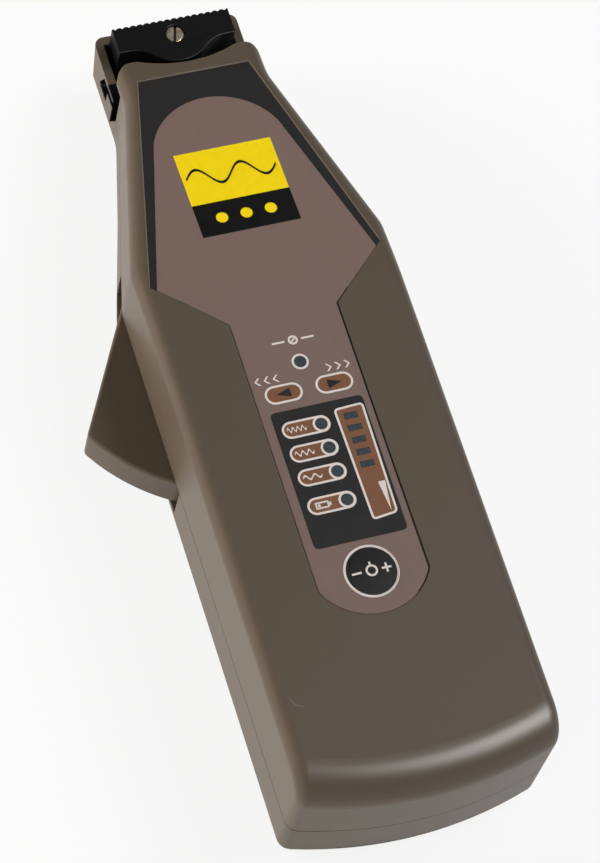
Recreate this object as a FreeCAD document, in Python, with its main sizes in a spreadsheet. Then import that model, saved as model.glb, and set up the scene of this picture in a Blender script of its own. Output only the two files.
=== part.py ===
"""Handheld optical fibre identifier, as a parametric FreeCAD document.

The instrument lies on its back. X runs across it, Y towards the head and Z out of the face,
and the origin is on the rear face at the middle of the grip. All sizes are in millimetres.
"""
import FreeCAD, Part
import os
import re

import Sketcher

Vector = FreeCAD.Vector

# Driving dimensions, with what each one measures
SIZES = {
    # Housing, seen from the face
    "body_width": (65.0, "grip, side to side"),
    "butt_reach": (68.5, "origin to the corners of the butt"),
    "butt_bulge": (5.2, "rise of the curved butt over its corners"),
    "grip_front": (70.0, "origin to the shoulder"),
    "neck_length": (50.0, "shoulder to the parallel part of the head"),
    "head_length": (25.35, "parallel part of the head"),
    "head_width": (37.9, "head, side to side"),
    "head_corner": (2.4, "plan radius of the head's far corners"),
    "shoulder_round": (12.0, "bend radius of the wall at the shoulder"),
    "neck_round": (15.0, "bend radius of the wall where neck meets head"),
    # Housing, seen from the side
    "body_depth": (38.3, "rear face to front face"),
    "parting_height": (14.5, "rear face to the parting line"),
    "seam_width": (0.25, "groove along the parting line"),
    "seam_depth": (0.6, "groove along the parting line"),
    "bend_setback": (12.5, "shoulder back to where the face bends"),
    "neck_slope": (5.75, "degrees that the neck's face drops"),
    "bend_round": (80.0, "radius of the bend in the face"),
    "back_setback": (5.0, "shoulder to where the back starts to rise"),
    "back_length": (23.0, "that rise, along Y"),
    "head_rise": (6.6, "height of the back of the head"),
    "back_bend_round": (12.0, "radius of the bends in the back of the neck"),
    "end_lean": (9.0, "degrees that the head's end leans back"),
    "end_wall": (2.3, "wall of the head's end, behind the block"),
    "butt_round": (9.0, "rounding from the face over the butt"),
    "edge_round": (3.4, "rounding along the face's edges"),
    "rear_round": (1.8, "rounding along the rear edges"),
    "wall": (2.2, "wall of both shells"),
    "face_wall": (2.8, "wall under the face"),
    "butt_wall": (6.5, "thickest wall at the butt's corners"),
    # Open end of the front shell and cheeks of the rear shell
    "lip_length": (10.0, "overhang of the face past the neck"),
    "lip_thickness": (3.6, "overhang, at its end"),
    "lip_corner": (4.2, "plan radius of the overhang's corners"),
    "dip_width": (26.0, "hollow in the overhang's edge"),
    "dip_depth": (2.7, "depth of that hollow"),
    "side_stop": (3.0, "neck end to the end of the front side walls"),
    "side_gap": (3.8, "gap between the front side wall and the cheek"),
    "cheek_drop": (7.7, "overhang's under side to the cheeks' front edges"),
    # Fibre slot through each cheek
    "gap_rise": (1.1, "parting line up to the gap's near corner"),
    "gap_drop": (5.3, "parting line down to the gap's far corner"),
    "finger_rise": (1.5, "parting line up to the slot's finger"),
    "slot_bar": (1.4, "cheek's front edge to the slot"),
    "finger_length": (4.2, "finger between the gap and the fibre's pocket"),
    "pocket_length": (5.6, "fibre's pocket, along Y"),
    "pocket_drop": (2.5, "parting line down to the pocket's floor"),
    "pocket_slant": (2.4, "lean of the pocket's far end"),
    "pocket_round": (1.2, "far corner of the pocket's floor"),
    # Printed label in its recess
    "label_recess": (0.5, "depth of the recess"),
    "label_thickness": (0.4, "label sheet"),
    "label_channel": (27.5, "width of the label's stem"),
    "label_rim": (2.9, "wall to label at the shoulder"),
    "label_top_width": (29.3, "label at its top edge"),
    "label_top_gap": (6.0, "label's top edge to the overhang's edge"),
    "label_wing": (5.5, "shoulder back to the label's widest point"),
    "label_flare": (14.5, "length of the flare from stem to wing"),
    "label_foot": (21.9, "origin back to where the stem's round end starts"),
    "label_foot_rise": (8.4, "depth of the stem's round end"),
    # Lamps
    "lamp_radius": (1.5, "round lamps"),
    "lamp_rim": (0.4, "rim at a lamp's base"),
    "lamp_rim_height": (1.0, "rim at a lamp's base"),
    "no_signal_y": (36.7, "lamp over the arrows"),
    "direction_y": (29.45, "row of the two arrow lamps"),
    "direction_spread": (12.8, "between the arrow lamps"),
    "direction_length": (5.0, "arrow lamp, along X"),
    "frequency_y": (19.7, "first of the frequency lamps"),
    "frequency_pitch": (6.4, "frequency lamps, one to the next"),
    "low_drop": (7.6, "last frequency lamp to the battery lamp"),
    "level_x": (7.6, "column of the level lamps"),
    "level_y": (20.2, "first level lamp"),
    "level_pitch": (3.26, "level lamps, one to the next"),
    "level_length": (3.4, "level lamp, along X"),
    "level_height": (1.6, "level lamp, along Y"),
    # Button and its switch
    "button_y": (19.6, "origin back to the button"),
    "button_radius": (6.0, "button's cap"),
    "button_flange": (1.4, "flange past the cap"),
    "flange_thickness": (1.6, "flange under the face"),
    "stem_radius": (1.6, "button's stem"),
    "button_travel": (0.5, "press"),
    "button_crown": (0.25, "rise of the button's domed top"),
    "button_proud": (0.1, "button's rim over the face"),
    "switch_size": (6.0, "square switch under the button"),
    "switch_case": (1.9, "height of the switch's case"),
    "switch_height": (2.45, "board to the top of the switch's tip"),
    "switch_tip": (1.7, "radius of the switch's tip"),
    # Board
    "board_drop": (6.9, "under side of the face to the board"),
    "board_thickness": (1.6, "circuit board"),
    "board_width": (48.0, "circuit board"),
    "board_back": (50.0, "origin back to the board's end"),
    "board_front": (54.0, "origin to the board's front"),
    "board_post": (2.6, "radius of the board's posts"),
    "board_screw_inset": (4.0, "board's edges to its screws"),
    "board_screw_radius": (1.0, "board screws"),
    "board_screw_head": (1.9, "radius of the board screws' heads"),
    "board_head_height": (1.3, "heads of the board screws"),
    "board_thread": (4.0, "board screw inside its post"),
    "chip_height": (2.0, "chips under the board"),
    # Trigger
    "pivot_offset": (7.4, "middle to the pivot, leftwards"),
    "pivot_setback": (4.5, "shoulder back to the pivot"),
    "pivot_boss": (3.2, "radius of the bosses that hold the pin"),
    "pin_radius": (1.5, "pivot pin"),
    "pin_hold": (5.0, "pin inside the front shell"),
    "lever_reach": (49.4, "pivot to the lever's round end"),
    "lever_angle": (29.3, "degrees that the lever stands out"),
    "lever_flush": (0.4, "how far the squeezed lever sits under the wall"),
    "lever_front": (1.5, "pivot to the grip edge's front"),
    "lever_tail": (36.0, "degrees of the round end from the grip edge"),
    "lever_edge": (0.8, "rounding of the lever's edges"),
    "lever_boss": (4.2, "radius round the pivot"),
    "lever_lift": (1.4, "rear wall's inside to the lever"),
    "lever_drop": (0.4, "parting line to the lever"),
    "squeeze_angle": (28.0, "degrees of trigger travel"),
    "slot_tail": (3.0, "lever's slot past the lever's tip"),
    "slot_head": (3.5, "lever's slot past the grip edge's front"),
    "slot_reach": (11.2, "depth of the lever's slot from the left wall"),
    # Cam and plunger
    "cam_arm": (9.0, "pivot to the cam nose"),
    "cam_nose": (2.4, "radius of the cam nose"),
    "cam_web": (2.8, "width of the cam's arm"),
    "cam_gap": (0.1, "cam nose to the plunger's foot"),
    "foot_length": (4.0, "plunger's foot, along Y"),
    "foot_lift": (1.0, "lever's under side to the foot's"),
    "foot_side": (1.0, "middle to the foot's left side"),
    "bar_lift": (1.7, "lever to the plunger bar over it"),
    "bar_width": (7.8, "plunger bar"),
    "bar_height": (6.0, "plunger bar"),
    "rod_radius": (2.5, "round end of the plunger"),
    "rod_hold": (3.0, "rod inside the jaw"),
    "spring_length": (12.0, "return spring at rest"),
    "spring_wire": (0.4, "radius of the spring's wire"),
    "spring_turns": (6.0, "turns of the spring"),
    "spring_room": (0.35, "rod to the spring"),
    "guide_thickness": (2.0, "guide wall for the plunger"),
    "guide_setback": (6.5, "jaw back to the spring's seat on the guide wall"),
    "guide_rise": (5.0, "rod's axis to the guide wall's top"),
    # Head block, its screw and its detectors
    "block_width": (30.8, "block and jaw, side to side"),
    "block_height": (12.4, "block's lobe to its top"),
    "block_drop": (0.6, "overhang's under side to the block's front"),
    "wave_rise": (5.3, "height of the wave in the clamping edges"),
    "wave_half": (13.0, "lobe to the wave's crest"),
    "tooth_count": (17.0, "serrations along the block's top"),
    "tooth_depth": (0.4, "serrations"),
    "tooth_share": (0.35, "half a serration, as a share of their pitch"),
    "screw_drop": (4.5, "block's top to its screw"),
    "screw_head": (2.25, "radius of the block screw's head"),
    "screw_seat": (1.8, "block's front to the head's seat"),
    "screw_sink": (0.3, "block's front to the head's rim"),
    "screw_crown": (0.35, "rise of the screw's head"),
    "screw_shank": (1.25, "radius of the block screw"),
    "screw_stop": (0.8, "back of the head to the block screw's end"),
    "screw_slot": (0.7, "width of the screw's slot"),
    "screw_slot_depth": (1.0, "depth of the screw's slot"),
    "screw_turn": (17.5, "degrees that the slot is turned"),
    "diode_spread": (14.0, "between the two photodiodes"),
    "diode_radius": (1.5, "photodiodes"),
    "diode_length": (4.0, "photodiodes"),
    "diode_wall": (3.4, "block's top to the photodiodes"),
    # Jaw
    "jaw_drop": (1.8, "overhang's under side to the jaw's front"),
    "jaw_depth": (5.3, "jaw under its hollow"),
    "jaw_lift": (2.0, "head's floor to the jaw"),
    "fibre_gap": (0.4, "left between jaw and block when squeezed"),
    # Battery bay
    "battery_width": (26.5, "nine volt battery"),
    "battery_depth": (17.5, "nine volt battery"),
    "battery_length": (46.5, "nine volt battery without its studs"),
    "stud_height": (2.0, "battery studs"),
    "stud_spread": (12.7, "between the studs"),
    "stud_small": (2.9, "radius of the small stud"),
    "stud_large": (4.2, "radius of the large stud"),
    "snap_thickness": (3.0, "battery snap"),
    "snap_height": (11.0, "battery snap"),
    "bay_setback": (3.5, "inside of the butt to the bay"),
    "bay_play": (0.5, "room at the bay's ends"),
    "bay_side": (1.0, "battery to the bay's sides"),
    "door_width": (36.0, "battery door without its tongues"),
    "door_tongue": (1.4, "tongue on each side of the door"),
    "door_thickness": (1.7, "battery door"),
    "door_sink": (0.3, "door under the rear face"),
    "door_lap": (1.0, "door past the bay's front"),
    "ridge_start": (9.0, "butt corners to the door's grip"),
    "ridge_pitch": (1.8, "grooves of the grip, one to the next"),
    "ridge_depth": (0.4, "grooves of the grip"),
    # Case screws
    "case_screw_inset": (5.5, "side wall to the lower case screws"),
    "case_screw_back": (10.5, "butt corners to the lower case screws"),
    "neck_screw_x": (15.0, "middle to the upper case screws"),
    "neck_screw_y": (30.0, "shoulder to the upper case screws"),
    "boss_radius": (3.2, "screw bosses"),
    "case_screw_radius": (1.3, "case screws"),
    "case_screw_head": (2.4, "radius of the case screws' heads"),
    "case_head_height": (2.0, "heads of the case screws"),
    "case_grip": (4.0, "boss between a screw's head and the parting line"),
    "case_thread": (8.0, "case screw inside the front shell"),
    # Fits
    "gap": (0.3, "clearance between parts that move"),
    "loose": (0.15, "clearance of a piece that drops into place"),
    "running": (0.05, "clearance of a shaft in its bore"),
    "seat": (0.02, "clearance of a fixed pin in its hole"),
    "overrun": (10.0, "how far the cutting tools run past the part"),
}

# Amplifier, controller and regulator: middle along X and Y, width and length
CHIPS = (("-9", "34", "8", "10"), ("9", "12", "10", "14"), ("-10", "-20", "6", "5"))
LEVELS = 5
FREQUENCIES = 3
RIDGES = 6

# Places that several pieces share, as formulas of those dimensions
HALF = "body_width / 2"
HEAD_HALF = "head_width / 2"
BLOCK_HALF = "block_width / 2"
BUTT_RADIUS = "((%s) ^ 2 + butt_bulge ^ 2) / (2 * butt_bulge)" % HALF
NECK_END = "(grip_front + neck_length)"
HEAD_END = "(grip_front + neck_length + head_length)"
LIP_END = "(grip_front + neck_length + lip_length)"
PAST = "(grip_front + neck_length + head_length + overrun)"
BEND = "(grip_front - bend_setback)"
BEND_TANGENT = "(bend_round * tan(neck_slope / 2))"
BACK_BEND = "(grip_front + back_setback)"
BACK_TOP = "(grip_front + back_setback + back_length)"
SIDE_END = "(grip_front + neck_length + side_stop)"
CHEEK_START = "(grip_front + neck_length + side_stop + side_gap)"
LIP_FLOOR = "(body_depth - (neck_length + lip_length + bend_setback) * tan(neck_slope) - lip_thickness)"
CHEEK_TOP = "(%s - cheek_drop)" % LIP_FLOOR
END_FOOT = "(%s - %s * tan(end_lean))" % (HEAD_END, CHEEK_TOP)
END_IN = "(%s - end_wall)" % HEAD_END
BLOCK_END = "(%s - end_wall - loose)" % HEAD_END
GAP_NEAR = "(parting_height + gap_rise)"
GAP_FAR = "(parting_height - gap_drop)"
SLOT_FINGER = "(parting_height + finger_rise)"
HEAD_FLOOR = "(head_rise + wall)"
CAVITY_BACK = "(-butt_reach + butt_wall)"
FACE_UNDER = "(body_depth - face_wall)"
LABEL_FLOOR = "(body_depth - label_recess)"
LABEL_TOP = "(body_depth - label_recess + label_thickness)"
BOARD_TOP = "(body_depth - face_wall - board_drop)"
BOARD_UNDER = "(body_depth - face_wall - board_drop - board_thickness)"
PIVOT_X = "(-pivot_offset)"
PIVOT_Y = "(grip_front - pivot_setback)"
PIVOT_INSET = "(body_width / 2 - pivot_offset)"
LEVER_OFFSET = "(body_width / 2 - pivot_offset - lever_flush)"
LEVER_FLOOR = "(wall + lever_lift)"
LEVER_TOP = "(parting_height - lever_drop)"
TRAVEL = "(2 * cam_arm * sin(squeeze_angle / 2))"
FOOT_Y = "(%s - cam_arm * sin(squeeze_angle / 2) + cam_nose + cam_gap)" % PIVOT_Y
BAR_FLOOR = "(%s + bar_lift)" % LEVER_TOP
ROD_Z = "(%s + bar_height / 2)" % BAR_FLOOR
BLOCK_LOBE = "(%s - block_height)" % BLOCK_END
BLOCK_FRONT = "(%s - block_drop)" % LIP_FLOOR
JAW_LOBE = "(%s - %s - fibre_gap)" % (BLOCK_LOBE, TRAVEL)
JAW_BACK = "(%s - jaw_depth)" % JAW_LOBE
GUIDE_Y = "(%s - guide_setback)" % JAW_BACK
WAVE_RADIUS = "((wave_half ^ 2 + wave_rise ^ 2) / (4 * wave_rise))"
SCREW_Y = "(%s - screw_drop)" % BLOCK_END
DOOR_TOP = "(door_sink + door_thickness)"
BATTERY_FLOOR = "(door_sink + door_thickness + gap)"
BAY_BACK = "(-butt_reach + butt_wall + bay_setback)"
BATTERY_FRONT = "(%s + bay_play + battery_length)" % BAY_BACK
BAY_FRONT = "(%s + stud_height + snap_thickness + bay_play)" % BATTERY_FRONT

doc = FreeCAD.newDocument("FibreIdentifier")
sheet = doc.addObject("Spreadsheet::Sheet", "Dims")
for row, (alias, (value, note)) in enumerate(SIZES.items(), start=1):
    sheet.set("A%d" % row, alias)
    sheet.set("B%d" % row, str(value))
    sheet.set("C%d" % row, note)
    sheet.setAlias("B%d" % row, alias)
doc.recompute()

# Sketch planes, as turns from the XY plane
ALONG_Y = FreeCAD.Rotation(Vector(1, 0, 0), -90)
PLANES = {
    "XY": FreeCAD.Rotation(),
    "XZ": FreeCAD.Rotation(Vector(1, 0, 0), 90),
    "YZ": FreeCAD.Rotation(Vector(1, 1, 1), 120),
}
NODES = []


def dims(formula):
    """A formula in the sheet's own names, written as an expression of the document."""
    def cell(word):
        return "Dims." + word.group() if word.group() in SIZES else word.group()
    return re.sub(r"[a-z]\w+", cell, str(formula))


def mm(formula):
    """The present value of such a formula."""
    value = sheet.evalExpression(dims(formula))
    return float(getattr(value, "Value", value))


def bind(thing, prop, formula):
    thing.setExpression(prop, dims(formula))


def place(thing, x="0", y="0", z="0", turn=None):
    """Bind a thing's place to formulas, with an optional turn."""
    if turn:
        thing.Placement = FreeCAD.Placement(Vector(), turn)
    for axis, formula in zip("xyz", (x, y, z)):
        bind(thing, "Placement.Base." + axis, formula)


def about_z(formula):
    """A turn about Z by a formula in degrees, clockwise seen from the face."""
    return FreeCAD.Rotation(Vector(0, 0, 1), -mm(formula))


def arc_between(start, end, radius, side):
    """The shorter arc from start to end, with its centre on the left or the right."""
    middle = (start + end) * 0.5
    half = (end - start) * 0.5
    across = Vector(-half.y, half.x, 0).normalize()
    depth = max(radius ** 2 - half.Length ** 2, 0) ** 0.5
    centre = middle + across * (depth if side == "left" else -depth)
    first, last = (start, end) if side == "left" else (end, start)
    angles = [Vector(1, 0, 0).getAngle(point - centre) for point in (first, last)]
    signed = [a if (p - centre).y >= 0 else -a for a, p in zip(angles, (first, last))]
    return Part.ArcOfCircle(Part.Circle(centre, Vector(0, 0, 1), radius), signed[0], signed[1])


def draw(sketch, steps):
    """Draw a closed outline. A step is the corner (x, y) that a line ends at,
    or (x, y, radius, side) for an arc that ends there."""
    points = [Vector(mm(step[0]), mm(step[1]), 0) for step in steps]
    ends = []
    for number, step in enumerate(steps):
        start, end = points[number - 1], points[number]
        if len(step) == 2:
            geo = sketch.addGeometry(Part.LineSegment(start, end))
            ends.append((geo, 1, 2))
            continue
        radius, side = step[2:]
        geo = sketch.addGeometry(arc_between(start, end, mm(radius), side))
        ends.append((geo, 1, 2) if side == "left" else (geo, 2, 1))
        limit(sketch, Sketcher.Constraint("Radius", geo, mm(radius)), radius)
    for number, (geo, tail, head) in enumerate(ends):
        before, _, joint = ends[number - 1]
        sketch.addConstraint(Sketcher.Constraint("Coincident", before, joint, geo, tail))
        for kind, formula in zip(("DistanceX", "DistanceY"), steps[number][:2]):
            limit(sketch, Sketcher.Constraint(kind, -1, 1, geo, head, mm(formula)), formula)


def draw_circle(sketch, x, y, radius):
    centre = Vector(mm(x), mm(y), 0)
    geo = sketch.addGeometry(Part.Circle(centre, Vector(0, 0, 1), mm(radius)))
    limit(sketch, Sketcher.Constraint("Radius", geo, mm(radius)), radius)
    for kind, formula in (("DistanceX", x), ("DistanceY", y)):
        limit(sketch, Sketcher.Constraint(kind, -1, 1, geo, 3, mm(formula)), formula)


def limit(sketch, constraint, formula):
    """Add a sized constraint and bind its size."""
    bind(sketch, "Constraints[%d]" % sketch.addConstraint(constraint), formula)


def fill(sketch, outlines):
    for outline in outlines:
        if outline[0] == "circle":
            draw_circle(sketch, *outline[1:])
        else:
            draw(sketch, outline)


def new_body(name):
    return doc.addObject("PartDesign::Body", name)


def sketch_in(body, name, plane, outlines, height="0"):
    """A sketch on one of the body's origin planes, moved along the plane's normal."""
    sketch = body.newObject("Sketcher::SketchObject", name)
    role = plane + "_Plane"
    origin = [item for item in body.Origin.OriginFeatures if item.Role == role][0]
    sketch.AttachmentSupport = [(origin, "")]
    sketch.MapMode = "FlatFace"
    bind(sketch, "AttachmentOffset.Base.z", height)
    fill(sketch, outlines)
    return sketch


def pad(body, name, plane, outlines, length, height="0", midplane=False):
    feature = body.newObject("PartDesign::Pad", name)
    feature.Profile = sketch_in(body, name + "_sketch", plane, outlines, height)
    feature.Midplane = midplane
    bind(feature, "Length", length)
    return feature


def pocket(body, name, plane, outlines, length, height="0", midplane=False):
    feature = body.newObject("PartDesign::Pocket", name)
    feature.Profile = sketch_in(body, name + "_sketch", plane, outlines, height)
    feature.Midplane = midplane
    bind(feature, "Length", length)
    return feature


def revolve(body, name, outlines):
    """Turn a sketch on the XZ plane about Z."""
    sketch = sketch_in(body, name + "_sketch", "XZ", outlines)
    feature = body.newObject("PartDesign::Revolution", name)
    feature.Profile = sketch
    feature.ReferenceAxis = (sketch, ["V_Axis"])
    feature.Angle = 360
    return feature


def round_edges(body, name, base, radius, wanted):
    """Fillet the edges of a feature that the test picks."""
    doc.recompute()
    names = ["Edge%d" % n for n, edge in enumerate(base.Shape.Edges, start=1) if wanted(edge)]
    feature = body.newObject("PartDesign::Fillet", name)
    feature.Base = (base, names)
    bind(feature, "Radius", radius)
    return feature


def prism(name, plane, outlines, length, start="0", symmetric=False):
    """A sketch pushed along its plane's normal."""
    sketch = doc.addObject("Sketcher::SketchObject", name + "_sketch")
    axis = {"XY": "z", "XZ": "y", "YZ": "x"}[plane]
    place(sketch, turn=PLANES[plane], **{axis: start})
    fill(sketch, outlines)
    solid = doc.addObject("Part::Extrusion", name)
    solid.Base = sketch
    solid.DirMode = "Normal"
    solid.Solid = True
    solid.Symmetric = symmetric
    bind(solid, "LengthFwd", length)
    return solid


def box(name, x, y, z):
    """A block between pairs of formulas along each axis."""
    solid = doc.addObject("Part::Box", name)
    for prop, (low, high) in zip(("Length", "Width", "Height"), (x, y, z)):
        bind(solid, prop, "(%s) - (%s)" % (high, low))
    place(solid, x[0], y[0], z[0])
    return solid


def cylinder(name, x, y, z, radius, height, turn=None):
    solid = doc.addObject("Part::Cylinder", name)
    bind(solid, "Radius", radius)
    bind(solid, "Height", height)
    place(solid, x, y, z, turn)
    return solid


def fuse(name, shapes):
    whole = doc.addObject("Part::MultiFuse", name)
    whole.Shapes = shapes
    return whole


def common(name, first, second):
    shared = doc.addObject("Part::Common", name)
    shared.Base = first
    shared.Tool = second
    return shared


def cut(name, base, tools):
    rest = doc.addObject("Part::Cut", name)
    rest.Base = base
    rest.Tool = tools[0] if len(tools) == 1 else fuse(name + "_tools", tools)
    return rest


def group(name, shapes):
    """Like pieces that share one node."""
    several = doc.addObject("Part::Compound", name)
    several.Links = shapes
    return several


def node(thing, label):
    """Name a finished sub-part."""
    thing.Label = label
    NODES.append(thing)
    return thing


def span(middle, size):
    """Low and high formulas of a size about its middle."""
    return "%s - (%s) / 2" % (middle, size), "%s + (%s) / 2" % (middle, size)


def box_outline(x0, x1, y0, y1):
    return [(x1, y0), (x1, y1), (x0, y1), (x0, y0)]


def near(value, formula):
    return abs(value - mm(formula)) < 0.01


def all_at(edge, axis, formula):
    return all(near(getattr(vertex.Point, axis), formula) for vertex in edge.Vertexes)


# Housing form: the whole outside, before it is split into shells

def housing_form():
    body = new_body("housing_form")
    plan = [
        (HALF, "-butt_reach", BUTT_RADIUS, "left"),
        (HALF, "grip_front"),
        (HEAD_HALF, NECK_END),
        (HEAD_HALF, HEAD_END),
        ("-" + HEAD_HALF, HEAD_END),
        ("-" + HEAD_HALF, NECK_END),
        ("-" + HALF, "grip_front"),
        ("-" + HALF, "-butt_reach"),
    ]
    pad(body, "form_plan", "XY", [plan], "body_depth")
    front_wedge = [
        (BEND, "body_depth"),
        (PAST, "body_depth - (%s - %s) * tan(neck_slope)" % (PAST, BEND)),
        (PAST, "body_depth"),
    ]
    rear_wedge = [
        (BACK_BEND, "0"),
        (PAST, "0"),
        (PAST, "head_rise"),
        (BACK_TOP, "head_rise"),
    ]
    wedges = pocket(body, "form_wedges", "YZ", [front_wedge, rear_wedge], "2 * body_width", midplane=True)

    def upright(place_y):
        def test(edge):
            return all_at(edge, "y", place_y) and edge.BoundBox.ZLength > mm("wall")
        return test

    def across(place_y, place_z):
        def test(edge):
            return all_at(edge, "y", place_y) and all_at(edge, "z", place_z)
        return test

    def long_edge(height):
        def test(edge):
            middle = edge.CenterOfMass
            at_side = near(abs(middle.x), HALF) and near(middle.z, height)
            return at_side and edge.BoundBox.YLength > mm("wall")
        return test

    step = round_edges(body, "shoulder_bend", wedges, "shoulder_round", upright("grip_front"))
    step = round_edges(body, "neck_bend", step, "neck_round", upright(NECK_END))
    step = round_edges(body, "face_bend", step, "bend_round", across(BEND, "body_depth"))
    step = round_edges(body, "back_bend", step, "back_bend_round", across(BACK_BEND, "0"))
    step = round_edges(body, "head_bend", step, "back_bend_round", across(BACK_TOP, "head_rise"))
    step = round_edges(body, "butt_over", step, "butt_round", across("-butt_reach", "body_depth"))
    step = round_edges(body, "face_edges", step, "edge_round", long_edge("body_depth"))
    round_edges(body, "rear_edges", step, "rear_round", long_edge("0"))
    doc.recompute()
    return body


def inner_space():
    """The hollow inside both shells. At the head's end it leans with the end wall."""
    inner = "(%s - wall)" % HALF
    inner_head = "(%s - wall)" % HEAD_HALF
    plan = [
        (inner, CAVITY_BACK),
        (inner, "grip_front"),
        (inner_head, NECK_END),
        (inner_head, PAST),
        ("-" + inner_head, PAST),
        ("-" + inner_head, NECK_END),
        ("-" + inner, "grip_front"),
        ("-" + inner, CAVITY_BACK),
    ]
    side = [
        (CAVITY_BACK, "wall"),
        (BACK_BEND, "wall"),
        (BACK_TOP, HEAD_FLOOR),
        ("%s - (%s - %s) * tan(end_lean)" % (END_IN, CHEEK_TOP, HEAD_FLOOR), HEAD_FLOOR),
        (END_IN, CHEEK_TOP),
        (PAST, CHEEK_TOP),
        (PAST, "%s - (%s - %s) * tan(neck_slope)" % (FACE_UNDER, PAST, BEND)),
        (BEND, FACE_UNDER),
        (CAVITY_BACK, FACE_UNDER),
    ]
    plan_solid = prism("inner_plan", "XY", [plan], "body_depth")
    side_solid = prism("inner_side", "YZ", [side], "2 * body_width", symmetric=True)
    return common("inner_space", plan_solid, side_solid)


def seam_groove():
    """A ring round the housing just under the parting line."""
    slab = box("seam_slab", ("-body_width", "body_width"), ("-2 * butt_reach", CHEEK_START),
               ("parting_height - seam_width", "parting_height + wall"))
    side = "(%s - seam_depth)" % HALF
    corner = "(%s - seam_depth - edge_round)" % HALF
    head_side = "(%s - seam_depth)" % HEAD_HALF
    plan = [
        (corner, "-butt_reach", BUTT_RADIUS, "left"),
        (side, "-butt_reach + edge_round"),
        (side, "grip_front"),
        (head_side, NECK_END),
        (head_side, PAST),
        ("-" + head_side, PAST),
        ("-" + head_side, NECK_END),
        ("-" + side, "grip_front"),
        ("-" + side, "-butt_reach + edge_round"),
        ("-" + corner, "-butt_reach"),
    ]
    return cut("seam_groove", slab, [prism("seam_core", "XY", [plan], "body_depth")])


# Printed label and the recess that it lies in

def label_plan(margin):
    """Outline of the label, grown by a margin."""
    stem = "(label_channel / 2 + %s)" % margin
    wing = "(%s - label_rim + %s)" % (HALF, margin)
    top = "(label_top_width / 2 + %s)" % margin
    top_y = "(%s - label_top_gap + %s)" % (LIP_END, margin)
    wing_y = "(grip_front - label_wing)"
    flare_y = "(grip_front - label_wing - label_flare)"
    foot_radius = "(((label_channel / 2) ^ 2 + label_foot_rise ^ 2) / (2 * label_foot_rise) + %s)" % margin
    return [
        (stem, "-label_foot", foot_radius, "left"),
        (stem, flare_y),
        (wing, wing_y),
        (top, top_y),
        ("-" + top, top_y),
        ("-" + wing, wing_y),
        ("-" + stem, flare_y),
        ("-" + stem, "-label_foot"),
    ]


def face_line(depth):
    """The face's side view, lowered by a depth: where its flat, its bend and its slope end."""
    back = "(-butt_reach)"
    flat_end = (BEND + " - " + BEND_TANGENT, "body_depth - (%s)" % depth)
    bend_end = (
        "%s + %s * cos(neck_slope) - (%s) * sin(neck_slope)" % (BEND, BEND_TANGENT, depth),
        "body_depth - %s * sin(neck_slope) - (%s) * cos(neck_slope)" % (BEND_TANGENT, depth),
    )
    slope_end = (
        PAST,
        "body_depth - (%s - %s) * tan(neck_slope) - (%s) / cos(neck_slope)" % (PAST, BEND, depth),
    )
    return (back, flat_end[1]), flat_end, bend_end, slope_end


def label_layer(name, low, high, margin):
    """A layer of the face between two depths, inside the label's outline."""
    back, flat_end, bend_end, slope_end = face_line(low)
    side = [back, flat_end, bend_end + ("bend_round - (%s)" % low, "right"), slope_end]
    if high is None:
        side += [(slope_end[0], "body_depth + wall"), (back[0], "body_depth + wall")]
    else:
        back, flat_end, bend_end, slope_end = face_line(high)
        side += [slope_end, bend_end, flat_end + ("bend_round - (%s)" % high, "left"), back]
    side_solid = prism(name + "_side", "YZ", [side], "2 * body_width", symmetric=True)
    plan_solid = prism(name + "_plan", "XY", [label_plan(margin)], "2 * body_depth")
    return common(name, plan_solid, side_solid)


# Where the lamps and the screws are

def lamp_places():
    """Centres of the round lamps: the one over the arrows first, then the column."""
    places = [("0", "no_signal_y")]
    places += [("0", "frequency_y - %d * frequency_pitch" % n) for n in range(FREQUENCIES)]
    places += [("0", "frequency_y - %d * frequency_pitch - low_drop" % (FREQUENCIES - 1))]
    return places


def direction_places():
    return [("%s * direction_spread / 2" % side, "direction_y") for side in ("-1", "1")]


def level_places():
    return [("level_x", "level_y - %d * level_pitch" % n) for n in range(LEVELS)]


def lamp_holes(name, low, high, clearance):
    """Tools that open every lamp and the button between two heights."""
    tools = []
    tall = "(%s) - (%s)" % (high, low)
    for n, (x, y) in enumerate(lamp_places()):
        tools.append(cylinder("%s_lamp_%d" % (name, n), x, y, low, "lamp_radius + %s" % clearance, tall))
    for n, (x, y) in enumerate(level_places()):
        wide = "level_length + 2 * %s" % clearance
        high_y = "level_height + 2 * %s" % clearance
        tools.append(box("%s_level_%d" % (name, n), span(x, wide), span(y, high_y), (low, high)))
    tools.append(cylinder(name + "_button", "0", "-button_y", low, "button_radius + gap", tall))
    return tools


def case_screw_places():
    lower_x = "(%s - case_screw_inset)" % HALF
    lower_y = "(-butt_reach + case_screw_back)"
    upper_y = "(grip_front + neck_screw_y)"
    places = []
    for side in ("-1", "1"):
        places.append((side + " * " + lower_x, lower_y))
        places.append((side + " * neck_screw_x", upper_y))
    return places


def board_screw_places():
    x = "(board_width / 2 - board_screw_inset)"
    ends = ("(-board_back + board_screw_inset)", "(board_front - board_screw_inset)")
    return [(side + " * " + x, y) for side in ("-1", "1") for y in ends]


# Shells

def rounded_end(end, corner, dip=()):
    """Everything past an end of the head with rounded corners, which a dip may hollow."""
    inside = "(%s - %s)" % (HEAD_HALF, corner)
    low = "(%s - %s)" % (end, corner)
    return [
        (HEAD_HALF, low),
        (inside, end, corner, "left"),
        *dip,
        ("-" + inside, end),
        ("-" + HEAD_HALF, low, corner, "left"),
        ("-body_width", low),
        ("-body_width", PAST),
        ("body_width", PAST),
        ("body_width", low),
    ]


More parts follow.
